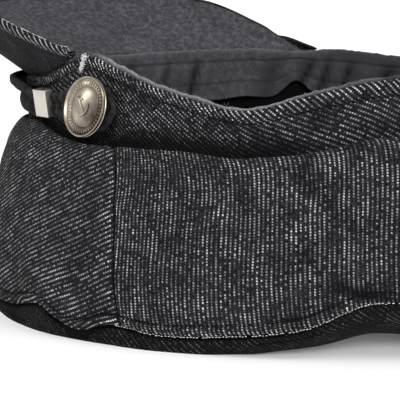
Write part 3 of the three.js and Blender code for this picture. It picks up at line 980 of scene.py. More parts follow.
@dataclass
class Panel:
    """One panel of the crown's side, between two seams."""

    name: str
    start: Callable[[Array], Array]
    end: Callable[[Array], Array]
    twill: float
    column_step: float = 1.7
    row_step: float = 1.3
    seam_roll: float = 0.6
    roll_width: float = 0.7
    allowance: float = 2.9
    allowance_height: float = 0.5
    tip_rows: tuple[float, ...] = (0.3, 0.7, 1.2, 1.8, 2.3, 2.6, 2.8, 3.0, 3.2, 3.4, 3.7, 4.3)

    def grid(self) -> Array:
        """The panel's outer face in mm, with its edges rolled in at the seams."""
        v_fine = np.linspace(0, 1, 201)
        middle = np.array([0.5])
        span = (self.end(middle) - self.start(middle))[0]
        length = math.radians(span) * (FORM.head_length + FORM.head_width) / 4 + FORM.overhang
        u = edge_spaced(length, self.column_step) / length
        angles = self.start(v_fine) + (self.end(v_fine) - self.start(v_fine)) * u[:, None]
        out, z = FORM.crown_side(angles, v_fine[None, :])
        down = running(FORM.place(angles, out, z), 1)
        height = float(down[:, -1].mean())
        shares = edge_spaced(height, self.row_step, NEAR, self.tip_rows) / height
        v = np.stack([np.interp(shares * d[-1], d, v_fine) for d in down])
        angles = self.start(v) + (self.end(v) - self.start(v)) * u[:, None]
        out, z = FORM.crown_side(angles, v)
        points = FORM.place(angles, out, z)
        outwards = normals(points, False)
        down = running(points, 1)
        to_tip = down[:, -1:] - down
        to_side = length * np.minimum(u, 1 - u)[:, None] + 0 * down
        uneven = np.clip(0.9 + 1.1 * rumple(points, 14, 3.7), 0.2, 1.6)
        crease = bump(to_tip - self.allowance - 0.3, 0.4) * uneven
        lift = self.allowance_height * smooth(self.allowance - to_tip, -0.35, 0.35) * uneven - 0.5 * crease
        roll = -self.seam_roll * (bump(to_tip, self.roll_width) + bump(to_side, self.roll_width))
        calm = smooth(down, 6, 16)
        wave = 0.55 * rumple(points, 22, 1.3) + 0.3 * rumple(points, 8, 5.1)
        pucker = 0.35 * rumple(points, 5, 9.9) * bump(to_tip - 5, 5)
        total = np.where(to_tip < 0.01, roll, roll + lift) + calm * wave + pucker
        # Painted shade in the allowance crease, along the side seams and in the inward creases; the edges at the tip
        # and the sides are rubbed paler.
        dark = 0.75 * crease + 1.0 * bump(to_side, 0.28) + 0.9 * FORM.crease_painted_shade(angles, z)
        self.wear = 0.4 * bump(to_tip - 0.6, 0.6) + 0.35 * bump(to_side - 0.9, 0.6) - np.clip(dark, 0, 0.95)
        return points + outwards * total[..., None]

    def build(self, finishes: Finishes) -> bpy.types.Object:
        """Builds the panel as a closed cloth wall."""
        outer = self.grid()
        inner = outer - normals(outer, False) * FORM.denim_wall
        uv = cloth_uv(outer, self.twill, level=True)
        piece = Wall(self.name, outer, inner, uv, wear=self.wear).build()
        return dress(piece, finishes.denim, finishes.inside)


@dataclass
class Crown:
    """The crown: a front panel, two side panels, and the top that the cap lies on."""

    panel_seam: float = 72.0
    seam_sweep: float = 10.0
    seam_hook: float = 2.0
    foot_at: float = 0.4

    def seam_at(self, v: Array) -> Array:
        """Where the seam beside the front panel runs, in degrees around."""
        return self.panel_seam + self.seam_sweep * (1 - (1 - v) ** 2.2) + self.seam_hook * v**8

    def panels(self) -> list[Panel]:
        """The three side panels, with a small gap at each seam."""
        half = math.degrees(FORM.panel_gap / FORM.head_width)
        seam = self.seam_at
        return [
            Panel("denim_crown_front", lambda v: -seam(v) + half, lambda v: seam(v) - half, 23),
            Panel("denim_crown_side_right", lambda v: seam(v) + half, lambda v: 180 - half + 0 * v, 85),
            Panel("denim_crown_side_left", lambda v: 180 + half + 0 * v, lambda v: 360 - seam(v) - half, 90),
        ]

    def top(self, finishes: Finishes) -> bpy.types.Object:
        """Builds the crown's top, from the tip seam round under to the middle."""
        around = np.linspace(0, 360, 361)[:, None]
        turn = np.linspace(0, 1, 15)
        tip_out, tip_z = FORM.crown_side(around, np.ones(1))
        tip_z = np.maximum(tip_z - FORM.seam_gap, 1.2)
        foot = FORM.beyond("foot", around)
        foot_z = np.maximum(FORM.rim_height * SECTIONS.read("foot_z", around), 0)
        q = turn[None, :] * math.pi / 2
        side = FORM.place(
            around, foot + (tip_out - foot) * np.cos(q), foot_z + (tip_z - foot_z) * (1 - np.sin(q))
        )
        allowance = np.array([(-3.0, 3.2), (-3.0, 2.2), (-2.95, 1.2), (-2.8, 0.3), (-1.8, -0.15)])
        tucked = FORM.place(around, tip_out + allowance[:, 0], tip_z + allowance[:, 1])
        inwards = np.linspace(0, 0.998, 41)[None, 1:]
        centre = np.array([FORM.centre_x, 0, 0])
        ring = FORM.place(around, foot, 0 * foot)
        under = centre + (ring - centre) * (1 - inwards[..., None])
        under[..., 2] = foot_z * (1 - inwards) ** 2
        outer = np.concatenate([tucked, side, under], 1)
        seam = len(allowance)
        down = running(outer, 1)
        down = down - down[:, seam : seam + 1]
        outwards = normals(outer, True)
        calm = bump(down - 9, 5)
        wave = 0.5 * rumple(outer, 15, 2.2) * calm - 0.8 * bump(down, 1.3)
        outer = outer + outwards * wave[..., None]
        outer[..., 2] = np.maximum(outer[..., 2], 0.0)
        outer[-1] = outer[0]
        inner = outer - normals(outer, True) * FORM.denim_wall
        inner[..., 2] = np.maximum(inner[..., 2], 0.4)
        # Painted shade along the tip seam, under the panels' edge.
        wear = -0.4 * bump(down, 2.5)
        uv = cloth_uv(outer, -42, seam + 4)
        piece = Wall("denim_crown_top", outer, inner, uv, ring=True, round_edge=0.2, wear=wear).build()
        return dress(piece, finishes.tip_denim, finishes.inside)


@dataclass
class Band:
    """The denim band, turned over at the rim."""

    hem: float = 3.1
    wide_hem: float = 4.2
    hem_proud: float = 0.45
    tuck: float = 2.5
    twill: float = -30.0
    hem_twill: float = -48.0

    def face(self, around: Array, below: Array) -> Array:
        """The band's outer face without its hem, this far below the rim."""
        rim, foot = FORM.rim_z(around), FORM.seam_z(around) - self.tuck
        v = below / (rim - foot)
        flare = FORM.overhang * RIM.read("flare", around) * np.clip(1 - v, 0, 1) ** 2
        return FORM.place(around, FORM.band_out + flare, rim - below)

    def build(self, finishes: Finishes) -> bpy.types.Object:
        """Builds the band as a closed wall with a raised, turned hem."""
        around = np.linspace(0, 360, 401)[:, None]
        height = (FORM.rim_z(around) - FORM.seam_z(around) + self.tuck)
        hem = self.hem + (self.wide_hem - self.hem) * smooth(np.abs(apart(around, 0)), 92, 116)
        top = np.array([0.22, 0.32, 0.5, 0.68, 0.84, 0.93, 1.02, 1.12, 1.22])
        rest = np.linspace(0, 1, 15)
        first = top[None, :] * hem
        lower = first[:, -1:] + (height - first[:, -1:]) * rest[None, :]
        below = np.concatenate([first, lower], 1)
        points = self.face(around, below)
        outwards = normals(points, True)
        proud = self.hem_proud * (1 - smooth(below, hem - 0.3, hem + 0.3))
        depth = np.clip(0.8 + 1.0 * rumple(points, 20, 8.8), 0.1, 1.6)
        groove = -0.45 * bump(below - hem - 0.45, 0.4) * depth
        soft = smooth(below, 4, 8) * (0.4 * rumple(points, 16, 4.4) + 0.2 * rumple(points, 7, 6.2))
        shift = proud + groove + soft
        shift[-1] = shift[0]
        outer = points + outwards * shift[..., None]
        outer[-1] = outer[0]
        inner = points - outwards * FORM.denim_wall
        inner[-1] = inner[0]
        split = top.size - 1
        outer[:, split + 1], inner[:, split + 1] = outer[:, split], inner[:, split]
        uv = cloth_uv(outer, self.twill, split)
        uv[:, : split + 1] = cloth_uv(outer[:, : split + 1], self.hem_twill, 0)
        # The hem is rubbed paler away from the front and left dark under the peak as painted shade; painted shade
        # also darkens the groove under the hem and the gap above the crown's puff.
        side = smooth(np.abs(apart(around, 0)), 46, 62)
        wear = 0.34 * side * (1 - smooth(below, 0.35 * hem, 0.85 * hem))
        gap = FORM.puff_z(around) + 5.5 - (FORM.rim_z(around) - below)
        shade = (0.2 + 0.72 * (1 - smooth(np.abs(apart(around, 0)), 104, 118))) * smooth(gap, -1.5, 5)
        wear = wear - 0.85 * bump(below - hem - 0.4, 0.35) * np.clip(depth, 0, 1) - shade
        piece = Wall(
            "denim_band", outer, inner, uv, ring=True, round_edge=0.7, wear=wear, breaks=[split]
        ).build()
        return dress(piece, finishes.denim, finishes.inside)


@dataclass
class Sweatband:
    """The cotton band inside, with its binding line and its free, wavy edge."""

    band: Band
    height: float = 15.5
    lift: float = 2.4
    peak_span: float = 65.0
    seam_lines: tuple[tuple[float, float], ...] = ((3.6, 0.4), (10.5, 0.18))

    def build(self, finishes: Finishes) -> bpy.types.Object:
        """Builds the sweatband as a closed wall."""
        around = np.linspace(0, 360, 481)[:, None]
        v = edge_spaced(self.height, 0.5, (0.3, 0.7)) / self.height
        below = v[None, :] * self.height
        points = self.band.face(around, below + 0 * around)
        outwards = FORM.outward(around) + 0 * points
        lift = inwards = 0.0
        for at, wide, up, reach in WAVES:
            lift = lift + self.height * up * bump(apart(around, at), wide)
            inwards = inwards + self.height * reach * bump(apart(around, at), wide)
        behind = smooth(self.peak_span - np.abs(apart(around, 0)), 1, 16)
        show = 0.35 * (1 - behind) + 0.4 * rumple(points, 1.8, 6.1)
        points[..., 2] += v * lift + (1 - v) * (self.lift * behind + show)
        wrinkle = 0.0
        for at, wide, reach in WRINKLES:
            lean = at + 3.0 * (v[None, :] - 0.5)
            wrinkle = wrinkle + reach * np.exp(-np.abs((around - lean + 540) % 360 - 180) / (wide * 0.8))
        loose = smooth(v, 0.1, 0.45)[None, :]
        shift = FORM.denim_wall + FORM.seam_gap + v**2 * inwards + loose * np.maximum(wrinkle, -0.15) * 2.1
        outer = points - outwards * shift[..., None]
        ripple = 0.25 * rumple(outer, 6, 7.7) + 0.3 * rumple(outer, 14, 2.9)
        lines = sum(depth * bump(below - at, 0.35) for at, depth in self.seam_lines)
        wall = FORM.sweatband_wall + np.maximum(ripple, -0.2) * loose - lines
        wall = wall - 0.35 * loose * np.clip(-wrinkle, 0, 1)
        inner = outer - outwards * wall[..., None]
        outer[-1], inner[-1] = outer[0], inner[0]
        uv = cloth_uv(inner, 0)
        # The top edge is rubbed paler; painted shade darkens the binding lines, the wrinkles' valleys and the band
        # past 58 degrees on the left.
        near = smooth(apart(around, 0), 66, 72) * (1 - smooth(apart(around, 0), 98, 118))
        wear = 0.9 * bump(below, 1.0) * (0.25 + near) + 0 * wall
        wear = wear - 0.5 * bump(below - self.seam_lines[0][0], 0.3) - 0.35 * bump(below - self.seam_lines[1][0], 0.3)
        wear = wear - loose * np.clip(-wrinkle * 1.7, 0, 1.5) - 0.3 * smooth(-apart(around, -58), 0, 14)
        piece = Wall(
            "cotton_sweatband", outer, inner, uv, ring=True, round_edge=0.45, wear=wear
        ).build()
        return dress(piece, finishes.cotton, finishes.cotton)


@dataclass
class Peak:
    """The soft peak: a denim half that turns over the edge, and a grey half on it."""

    reach: float = 46.0
    width: float = 154.0
    span: float = 65.0
    fall: float = 4.8
    base_out: float = 0.8
    base_lift: float = 0.7
    thick: float = 3.0
    turned: float = 0.7
    turn_end: float = 87.0
    far_pull: float = 0.03
    far_drop: float = 3.6
    near_drop: float = 2.3
    far_thin: float = 0.72
    columns: int = 220

    def thick_at(self, turn: Array) -> Array:
        """How thick the peak is: it thins out where its far end goes under the rim."""
        return self.thick * (1 - self.far_thin * smooth(-turn, 76, 87))

    def face(self, turn: Array, v: Array) -> Array:
        """The peak's lower face, from the rim (v = 0) to its edge (v = 1)."""
        turn = np.asarray(turn, float)
        a = np.radians(turn)
        around = turn / 90 * self.span
        out = FORM.band_out + self.base_out * np.cos(a)
        base = FORM.place(around, out, FORM.rim_z(around) + self.base_lift)
        end_x = FORM.place(np.array(self.span), np.array(FORM.band_out), np.array(0.0))[0]
        tip_x = FORM.centre_x - FORM.head_length / 2 - FORM.band_out - self.reach
        z = FORM.rim_height * PEAK_EDGE.read("z", turn) - self.fall / 2 * (1 - np.sin(a))
        narrow = 1 - self.far_pull * (smooth(-turn, 30, 75) + 0.8 * smooth(-turn, 78, 87))
        z = z - self.far_drop * smooth(-turn, 64, 84)
        z = z - self.near_drop * (smooth(turn, 15, 55) + 0.7 * smooth(turn, 55, 84))
        edge = np.stack([end_x + (tip_x - end_x) * np.cos(a), -self.width / 2 * np.sin(a) * narrow, z], -1)
        share = np.asarray(v, float)[..., None]
        return base * (1 - share) + edge * share

    def frame_at(self) -> tuple[Array, Array, Array, Array]:
        """The peak's columns: their turns, lengths, lower face's up directions and edge directions."""
        turn = np.linspace(-self.turn_end, self.turn_end, self.columns + 1)
        v = np.linspace(0, 1, 25)
        grid = self.face(turn[:, None], v[None, :])
        length = np.linalg.norm(grid[:, -1] - grid[:, 0], axis=-1)
        up = -normals(grid, False)
        up = np.where(up[..., 2:] < 0, -up, up)
        along = (grid[:, -1] - grid[:, 0]) / length[:, None]
        return turn, length, up, along

    def at_up(self, up: Array, v: Array) -> Array:
        """The up directions at shares of each column's length."""
        place = np.clip(v, 0, 1) * (up.shape[1] - 1)
        i = np.minimum(place.astype(int), up.shape[1] - 2)
        t = (place - i)[..., None]
        rows = np.arange(up.shape[0])[:, None]
        n = up[rows, i] * (1 - t) + up[rows, i + 1] * t
        return n / np.linalg.norm(n, axis=-1, keepdims=True)

    def edge_line(self, turn: Array) -> Array:
        """The ridge where the denim meets the grey half, for the thread."""
        frames = np.linspace(-self.turn_end, self.turn_end, self.columns + 1)
        _, length, up, _ = self.frame_at()
        flat_end = 1 - np.minimum(length * 0.42, self.thick_at(frames) / 2) / length
        v = np.interp(turn, frames, flat_end)
        n = np.stack([np.interp(turn, frames, up[:, -1, k]) for k in range(3)], -1)
        return self.face(turn, v) + n * (self.thick_at(turn) + 0.02)[:, None]

    def build(self, finishes: Finishes) -> list[bpy.types.Object]:
        """Builds both halves."""
        turn, length, up, along = self.frame_at()
        thick = self.thick_at(turn)
        half = thick[:, None, None] / 2
        room = np.minimum(length * 0.42, thick / 2)
        turned = np.minimum(length * 0.3, self.turned)
        flat_end = 1 - room / length
        lower_v = flat_end[:, None] * np.linspace(0, 1, 34)[None, :]
        lower = self.face(turn[:, None], lower_v)
        n_low = self.at_up(up, lower_v)
        centre = self.face(turn[:, None], flat_end[:, None])
        n_end = self.at_up(up, flat_end[:, None])
        phi = np.linspace(-90, 90, 13)[None, 1:-1]
        c, s = np.cos(np.radians(phi))[..., None], np.sin(np.radians(phi))[..., None]

        def path(wall: float) -> Array:
            """The denim half's outline, this far inside its outer face."""
            inset = np.minimum(wall, 0.8 * half)
            thick_low = lower + n_low * inset
            mid = centre + n_end * half
            arc = mid + (along[:, None] * c * room[:, None, None] / half + n_end * s) * (half - inset)
            back_v = flat_end[:, None] - (turned / length)[:, None] * np.linspace(0, 1, 6)[None, :]
            back = self.face(turn[:, None], back_v) + self.at_up(up, back_v) * (2 * half - inset)
            return np.concatenate([thick_low, arc, back], 1)

        outer, inner = path(0.0), path(1.15)
        uv = cloth_uv(outer, 32, 34)
        past = running(outer, 1) - running(outer, 1)[:, 39:40]
        near = smooth(turn, 20, 50)[:, None]
        wear = 0.9 * near * smooth(past, -3.4, -2.2)
        denim = Wall("denim_peak", outer, inner, uv, round_edge=0.3, wear=wear).build()
        dress(denim, finishes.peak_denim, finishes.peak_denim)

        end_v = (flat_end - (turned + 0.15) / length)[:, None]
        v = end_v * np.linspace(0, 1, 40)[None, :]
        base = self.face(turn[:, None], v)
        n = self.at_up(up, v)
        top = base + n * (2 * half - 0.05)
        top[..., 2] += 0.12 * rumple(top, 3, 8.4)
        bottom = base + n * half * 1.07
        grey = Wall("grey_peak_underside", top, bottom, cloth_uv(top, 0), round_edge=0.3).build()
        dress(grey, finishes.underside, finishes.underside)
        return [denim, grey]


@dataclass
class Strap:
    """The soft strap round the front, from button to button, gathered in both sliders."""

    width: float = 12.6
    thickness: float = 2.0
    tuck: float = 1.9
    end: float = 75.5
    round_end: float = 3.4

    def z(self, around: Array) -> Array:
        """The height of the strap's middle."""
        return FORM.rim_height * STRAP.read("z", around) - FORM.left_fall(around)

    def build(self, finishes: Finishes) -> bpy.types.Object:
        """Builds the strap as a folded ribbon."""
        around = np.linspace(-self.end, self.end, 505)[:, None]
        q = np.linspace(1, -1, 29)[None, :]
        at = np.abs(around)
        rounded = np.sqrt(np.clip(1 - np.maximum(1 - (self.end - at) / self.round_end, 0) ** 2, 0.0025, 1))
        half = 0.5 * self.width * STRAP.read("width", at) * rounded
        lean = np.radians(STRAP.read("lean", at))
        kink = STRAP.read("kink", at) * np.cos(2 * math.pi * (q - 0.85) / 1.3)
        gathered = smooth(at, 57.5, 60) * (1 - smooth(at, 64, 70))
        pleats = 0.5 * np.cos(2 * math.pi * (at - 58) / 2.1 + 1.4 * q + 0.8 * np.sin(3 * q))
        rays = (0.3 * np.cos(q * 11) + pleats) * gathered
        folded = (1 - smooth(at, 44, 52)) * smooth(at, 10, 22)
        up = q * half
        across = kink + rays - self.tuck * folded * smooth(-q, -0.1, 0.45)
        out = STRAP.read("out", at) - 0.7 * folded + across * np.cos(lean) + up * np.sin(lean)
        points = FORM.place(around, out, self.z(around) + up * np.cos(lean) - across * np.sin(lean))
        n = normals(points, False)
        points = points + n * (0.25 * rumple(points, 5, 3.3))[..., None]
        thin = (self.thickness / 2 * (1 - 0.4 * bump(at - 56, 3.5)))[..., None]
        outer = points + n * thin
        inner = points - n * thin
        # The edges and the pleats' ridges are rubbed paler; the pleats' hollows get painted shade.
        wear = bump((1 - np.abs(q)) * half, 0.8) * 0.7 + np.clip(rays * 1.6, -0.4, 0.8)
        piece = Wall("suede_strap", outer, inner, cloth_uv(outer, 0), round_edge=0.7, wear=wear).build()
        return dress(piece, finishes.suede, finishes.suede)


def on_strap(side: Side, at: float, turn: float, lean: float, beyond: float) -> Matrix:
    """The placing of a piece on the strap: +X runs back along the strap and +Z looks out of it.

    Args:
        side: The side of the cap.
        at: Degrees around, from the front.
        turn: A turn about the upright axis, in degrees.
        lean: A lean of the facing, upwards, in degrees.
        beyond: How far out of the strap's middle, in mm.

    Returns:
        The placing, in mm.
    """
    sign = side.value
    around = np.array(sign * at, float)
    flat = Matrix.Rotation(math.radians(sign * turn), 3, "Z") @ Vector(FORM.outward(around))
    back = Vector((-flat.y, flat.x, 0)) * sign
    facing = Matrix.Rotation(math.radians(-sign * lean), 3, back) @ flat
    strap = Strap()
    centre = Vector(FORM.place(around, STRAP.read("out", around), strap.z(around))) + facing * beyond
    third = facing.cross(back)
    made = Matrix((back, third, facing)).transposed().to_4x4()
    made.translation = centre
    return made


@dataclass
class Slider:
    """A flat metal loop that gathers the strap."""

    side: Side
    at: float = 56.0
    turn: float = 6.0
    length: float = 7.0
    height: float = 8.3
    depth: float = 3.0
    wall: float = 0.7
    forward: float = 0.95
    rise: float = 0.6
    lean: float = -9.0

    def build(self, finishes: Finishes) -> bpy.types.Object:
        """Builds the loop from a cube whose ends are inset, opened and joined."""
        clear_selection()
        bpy.ops.mesh.primitive_cube_add(size=1)
        piece = bpy.context.active_object
        piece.name = piece.data.name = f"steel_slider_{self.side.name.lower()}"
        piece.scale = (self.length, self.height, self.depth)
        bpy.ops.object.transform_apply(location=False, rotation=False, scale=True)
        bpy.ops.object.mode_set(mode="EDIT")
        shape = bmesh.from_edit_mesh(piece.data)
        for face in shape.faces:
            face.select_set(abs(face.normal.x) > 0.9)
        bmesh.update_edit_mesh(piece.data)
        bpy.ops.mesh.inset(thickness=self.wall, use_individual=True)
        bpy.ops.mesh.bridge_edge_loops()
        bpy.ops.mesh.select_all(action="SELECT")
        bpy.ops.mesh.normals_make_consistent(inside=False)
        bpy.ops.object.mode_set(mode="OBJECT")
        bevel = piece.modifiers.new("rounded_edges", "BEVEL")
        bevel.width, bevel.segments, bevel.limit_method = 0.22, 3, "ANGLE"
        bpy.ops.object.modifier_apply(modifier=bevel.name)
        seat = on_strap(self.side, self.at, self.turn, self.lean, self.forward)
        piece.data.transform(Matrix.Scale(MM, 4) @ Matrix.Translation((0, 0, self.rise)) @ seat)
        piece.data.shade_smooth()
        bpy.ops.object.shade_smooth_by_angle(angle=math.radians(35))
        return dress(piece, finishes.steel)


@dataclass
class Button:
    """A domed metal button with a raised rim, a ring of ticks and a plain anchor."""

    side: Side
    at: float = 70.0
    lean: float = 12.0
    diameter: float = 18.0
    shank: float = 4.0
    ticks: int = 44

    @property
    def radius(self) -> float:
        """Half the diameter."""
        return self.diameter / 2

    def profile(self) -> list[tuple[float, float, float]]:
        """The face from the rim's back to the middle: radius and depth as shares of the radius, and tarnish."""
        return [
            (0.93, 0.27, 0.5),
            (0.97, 0.26, 0.1),
            (0.985, 0.24, 0.0),
            (0.985, 0.21, 0.0),
            (0.965, 0.19, 0.6),
            (0.97, 0.17, 0.5),
            (0.995, 0.14, 0.0),
            (1.0, 0.115, 0.0),
            (0.985, 0.075, 0.0),
            (0.96, 0.065, 0.0),
            (0.935, 0.08, 0.2),
            (0.915, 0.135, 0.55),
            (0.89, 0.15, 0.35),
            (0.78, 0.15, 0.1),
            (0.7, 0.15, 0.3),
            (0.685, 0.15, 0.45),
            (0.665, 0.13, 0.1),
            (0.6, 0.1, 0.0),
            (0.46, 0.06, 0.0),
            (0.3, 0.026, 0.0),
            (0.14, 0.005, 0.0),
        ]

    def disc(self) -> bpy.types.Object:
        """Models the disc from a circle, extruded ring by ring over the rim and the dome."""
        clear_selection()
        steps = self.profile()
        r = self.radius
        bpy.ops.mesh.primitive_circle_add(vertices=96, radius=steps[0][0] * r, fill_type="NGON")
        piece = bpy.context.active_object
        piece.data.transform(Matrix.Translation((0, 0, -steps[0][1] * r)))
        bpy.ops.object.mode_set(mode="EDIT")
        bpy.ops.mesh.select_all(action="SELECT")
        for (r0, d0, _), (r1, d1, _) in zip(steps, steps[1:]):
            bpy.ops.mesh.extrude_region_move(TRANSFORM_OT_translate={"value": (0, 0, (d0 - d1) * r)})
            share = r1 / r0
            bpy.ops.transform.resize(value=(share, share, 1), center_override=(0, 0, 0))
        bpy.ops.mesh.select_all(action="SELECT")
        bpy.ops.mesh.normals_make_consistent(inside=False)
        bpy.ops.object.mode_set(mode="OBJECT")
        return piece

    def stem(self) -> bpy.types.Object:
        """Models the shank behind the disc."""
        back = self.radius * self.profile()[0][1]
        depth = 5.0
        clear_selection()
        bpy.ops.mesh.primitive_cylinder_add(
            vertices=32, radius=self.shank / 2, depth=depth, location=(0, 0, -back - depth / 2 + 0.05)
        )
        piece = bpy.context.active_object
        bpy.ops.object.mode_set(mode="EDIT")
        bpy.ops.mesh.bevel(offset=0.2, segments=2, affect="EDGES")
        bpy.ops.object.mode_set(mode="OBJECT")
        return piece

    def tick_ring(self) -> list[bpy.types.Object]:
        """Models one raised tick and copies it round the face."""
        r = self.radius
        clear_selection()
        bpy.ops.mesh.primitive_cube_add(size=1)
        first = bpy.context.active_object
        first.scale = (0.12 * r, 0.04 * r, 0.06 * r)
        bpy.ops.object.transform_apply(location=False, rotation=False, scale=True)
        bpy.ops.object.mode_set(mode="EDIT")
        bpy.ops.mesh.bevel(offset=0.05, segments=1, affect="EDGES")
        bpy.ops.object.mode_set(mode="OBJECT")
        made = []
        for k in range(self.ticks):
            copy = first.copy()
            copy.data = first.data.copy()
            turn = Matrix.Rotation(2 * math.pi * (k + 0.5) / self.ticks, 4, "Z")
            copy.data.transform(turn @ Matrix.Translation((0.8 * r, 0, -0.145 * r)))
            bpy.context.scene.collection.objects.link(copy)
            made.append(copy)
        bpy.data.objects.remove(first)
        return made

    def anchor(self) -> list[bpy.types.Object]:
        """Models a plain anchor of bars and rings that lie on the dome."""
        r = self.radius
        made = []
        z = -0.008 * r
        clear_selection()
        bpy.ops.mesh.primitive_torus_add(
            major_radius=0.075 * r, minor_radius=0.025 * r, major_segments=20, minor_segments=8,
            location=(0, 0.36 * r, z - 0.024 * r),
        )
        made.append(bpy.context.active_object)
        for size, at in (((0.06, 0.6, 0.08), (0, 0.01)), ((0.3, 0.05, 0.07), (0, 0.2))):
            clear_selection()
            bpy.ops.mesh.primitive_cube_add(size=1, location=(at[0] * r, at[1] * r, z))
            bar = bpy.context.active_object
            bar.scale = [s * r for s in size]
            bpy.ops.object.transform_apply(location=False, rotation=False, scale=True)
            bpy.ops.object.mode_set(mode="EDIT")
            bpy.ops.mesh.bevel(offset=0.08, segments=2, affect="EDGES")
            bpy.ops.object.mode_set(mode="OBJECT")
            made.append(bar)
        clear_selection()
        bpy.ops.mesh.primitive_torus_add(
            major_radius=0.29 * r, minor_radius=0.042 * r, major_segments=48, minor_segments=8,
            location=(0, 0.0, z - 0.01 * r),
        )
        arc = bpy.context.active_object
        bpy.ops.object.mode_set(mode="EDIT")
        bpy.ops.mesh.select_all(action="SELECT")
        bpy.ops.mesh.bisect(plane_co=(0, -0.1 * r, 0), plane_no=(0, 1, 0), clear_outer=True, use_fill=True)
        bpy.ops.object.mode_set(mode="OBJECT")
        made.append(arc)
        return made

    def build(self, finishes: Finishes) -> bpy.types.Object:
        """Builds the button and sets it on the strap."""
        parts = [self.disc(), self.stem(), *self.tick_ring(), *self.anchor()]
        for part in parts[2 + self.ticks :]:
            part.data.transform(part.matrix_basis)
            part.matrix_basis = Matrix.Identity(4)
            part.data.transform(Matrix.Rotation(math.radians(38), 4, "Z"))
        parts[1].data.transform(parts[1].matrix_basis)
        parts[1].matrix_basis = Matrix.Identity(4)
        clear_selection()
        for part in parts:
            part.select_set(True)
        bpy.context.view_layer.objects.active = parts[0]
        bpy.ops.object.join()
        piece = bpy.context.active_object
        piece.name = piece.data.name = f"silver_button_{self.side.name.lower()}"
        self.tarnish(piece)
        back = self.radius * self.profile()[0][1]
        beyond = 2.6 / 2 + FORM.seam_gap + back
        piece.data.transform(Matrix.Scale(MM, 4) @ on_strap(self.side, self.at, 0, self.lean, beyond))
        piece.data.shade_smooth()
        bpy.ops.object.shade_smooth_by_angle(angle=math.radians(40))
        return dress(piece, finishes.silver)

    def tarnish(self, piece: bpy.types.Object) -> None:
        """Writes the tarnish of each point of the face by its hollows and raised marks, with painted shade that
        darkens the face towards its lower right.
        """
        steps = self.profile()[::-1]
        radii = [s[0] * self.radius for s in steps]
        stain = [s[2] for s in steps]
        depth = [-s[1] * self.radius for s in steps]
        layer = piece.data.attributes.new(WEAR_AND_PAINTED_SHADE, "FLOAT", "POINT")
        values = []
        for vertex in piece.data.vertices:
            r = math.hypot(vertex.co.x, vertex.co.y)
            above = vertex.co.z - float(np.interp(r, radii, depth))
            raised = 0.0 if above < 0.03 else (-0.3 if above > 0.2 else 0.8)
            # Painted shade: the face darkens towards its lower right.
            low = smooth(np.array((vertex.co.x - vertex.co.y) * 0.707 / self.radius), -0.25, 0.75)
            values.append(float(np.interp(r, radii, stain)) + raised + 0.75 * float(low) * (r < 0.93 * self.radius))
        layer.data.foreach_set("value", values)


@dataclass
class TipStitches:
    """The pale thread that shows along the tip seam."""

    spacing: float = 0.95
    length: float = 0.85
    thick: float = 0.13
    start: float = 83.0
    seed: int = 7

    def bead(self) -> tuple[Array, list[tuple[int, ...]]]:
        """One short stitch along +X, modelled from a sphere, as points in mm and faces."""
        clear_selection()
        bpy.ops.mesh.primitive_uv_sphere_add(segments=6, ring_count=4, radius=1)
        piece = bpy.context.active_object
        piece.data.transform(Matrix.Diagonal((self.length / 2, self.thick, self.thick, 1)))
        points = np.array([tuple(v.co) for v in piece.data.vertices])
        faces = [tuple(p.vertices) for p in piece.data.polygons]
        bpy.data.objects.remove(piece)
        return points, faces

    def build(self, finishes: Finishes) -> bpy.types.Object:
        """Builds the run of stitches round the tip seam."""
        rng = np.random.default_rng(self.seed)
        around = np.linspace(0, 360, 1441)
        out, z = FORM.crown_side(around, np.ones(1))
        line = FORM.place(around, out - 0.25, np.maximum(z - 0.1, 1.2))
        run = running(line[:, None], 0)[:, 0]
        places = np.arange(0, run[-1] - self.spacing, self.spacing)
        bead, bead_faces = self.bead()
        points, faces = [], []
        for at in places:
            if rng.random() < 0.12 or abs(apart(np.interp(at, run, around), 0)) < self.start:
                continue
            here = np.array([np.interp(at, run, line[:, k]) for k in range(3)])
            ahead = np.array([np.interp(at + 0.4, run, line[:, k]) for k in range(3)])
            along = (ahead - here) / np.linalg.norm(ahead - here)
            side = np.cross((0, 0, 1), along)
            side /= np.linalg.norm(side)
            axes = np.stack([along, side, np.cross(along, side)])
            size = rng.uniform(0.75, 1.15)
            first = len(points)
            points.extend(here + rng.normal(0, 0.08, 3) + bead * size @ axes)
            faces.extend(tuple(first + k for k in face) for face in bead_faces)
        piece = mesh_object("pale_tip_stitches", points, faces)
        return dress(piece, finishes.pale_thread)


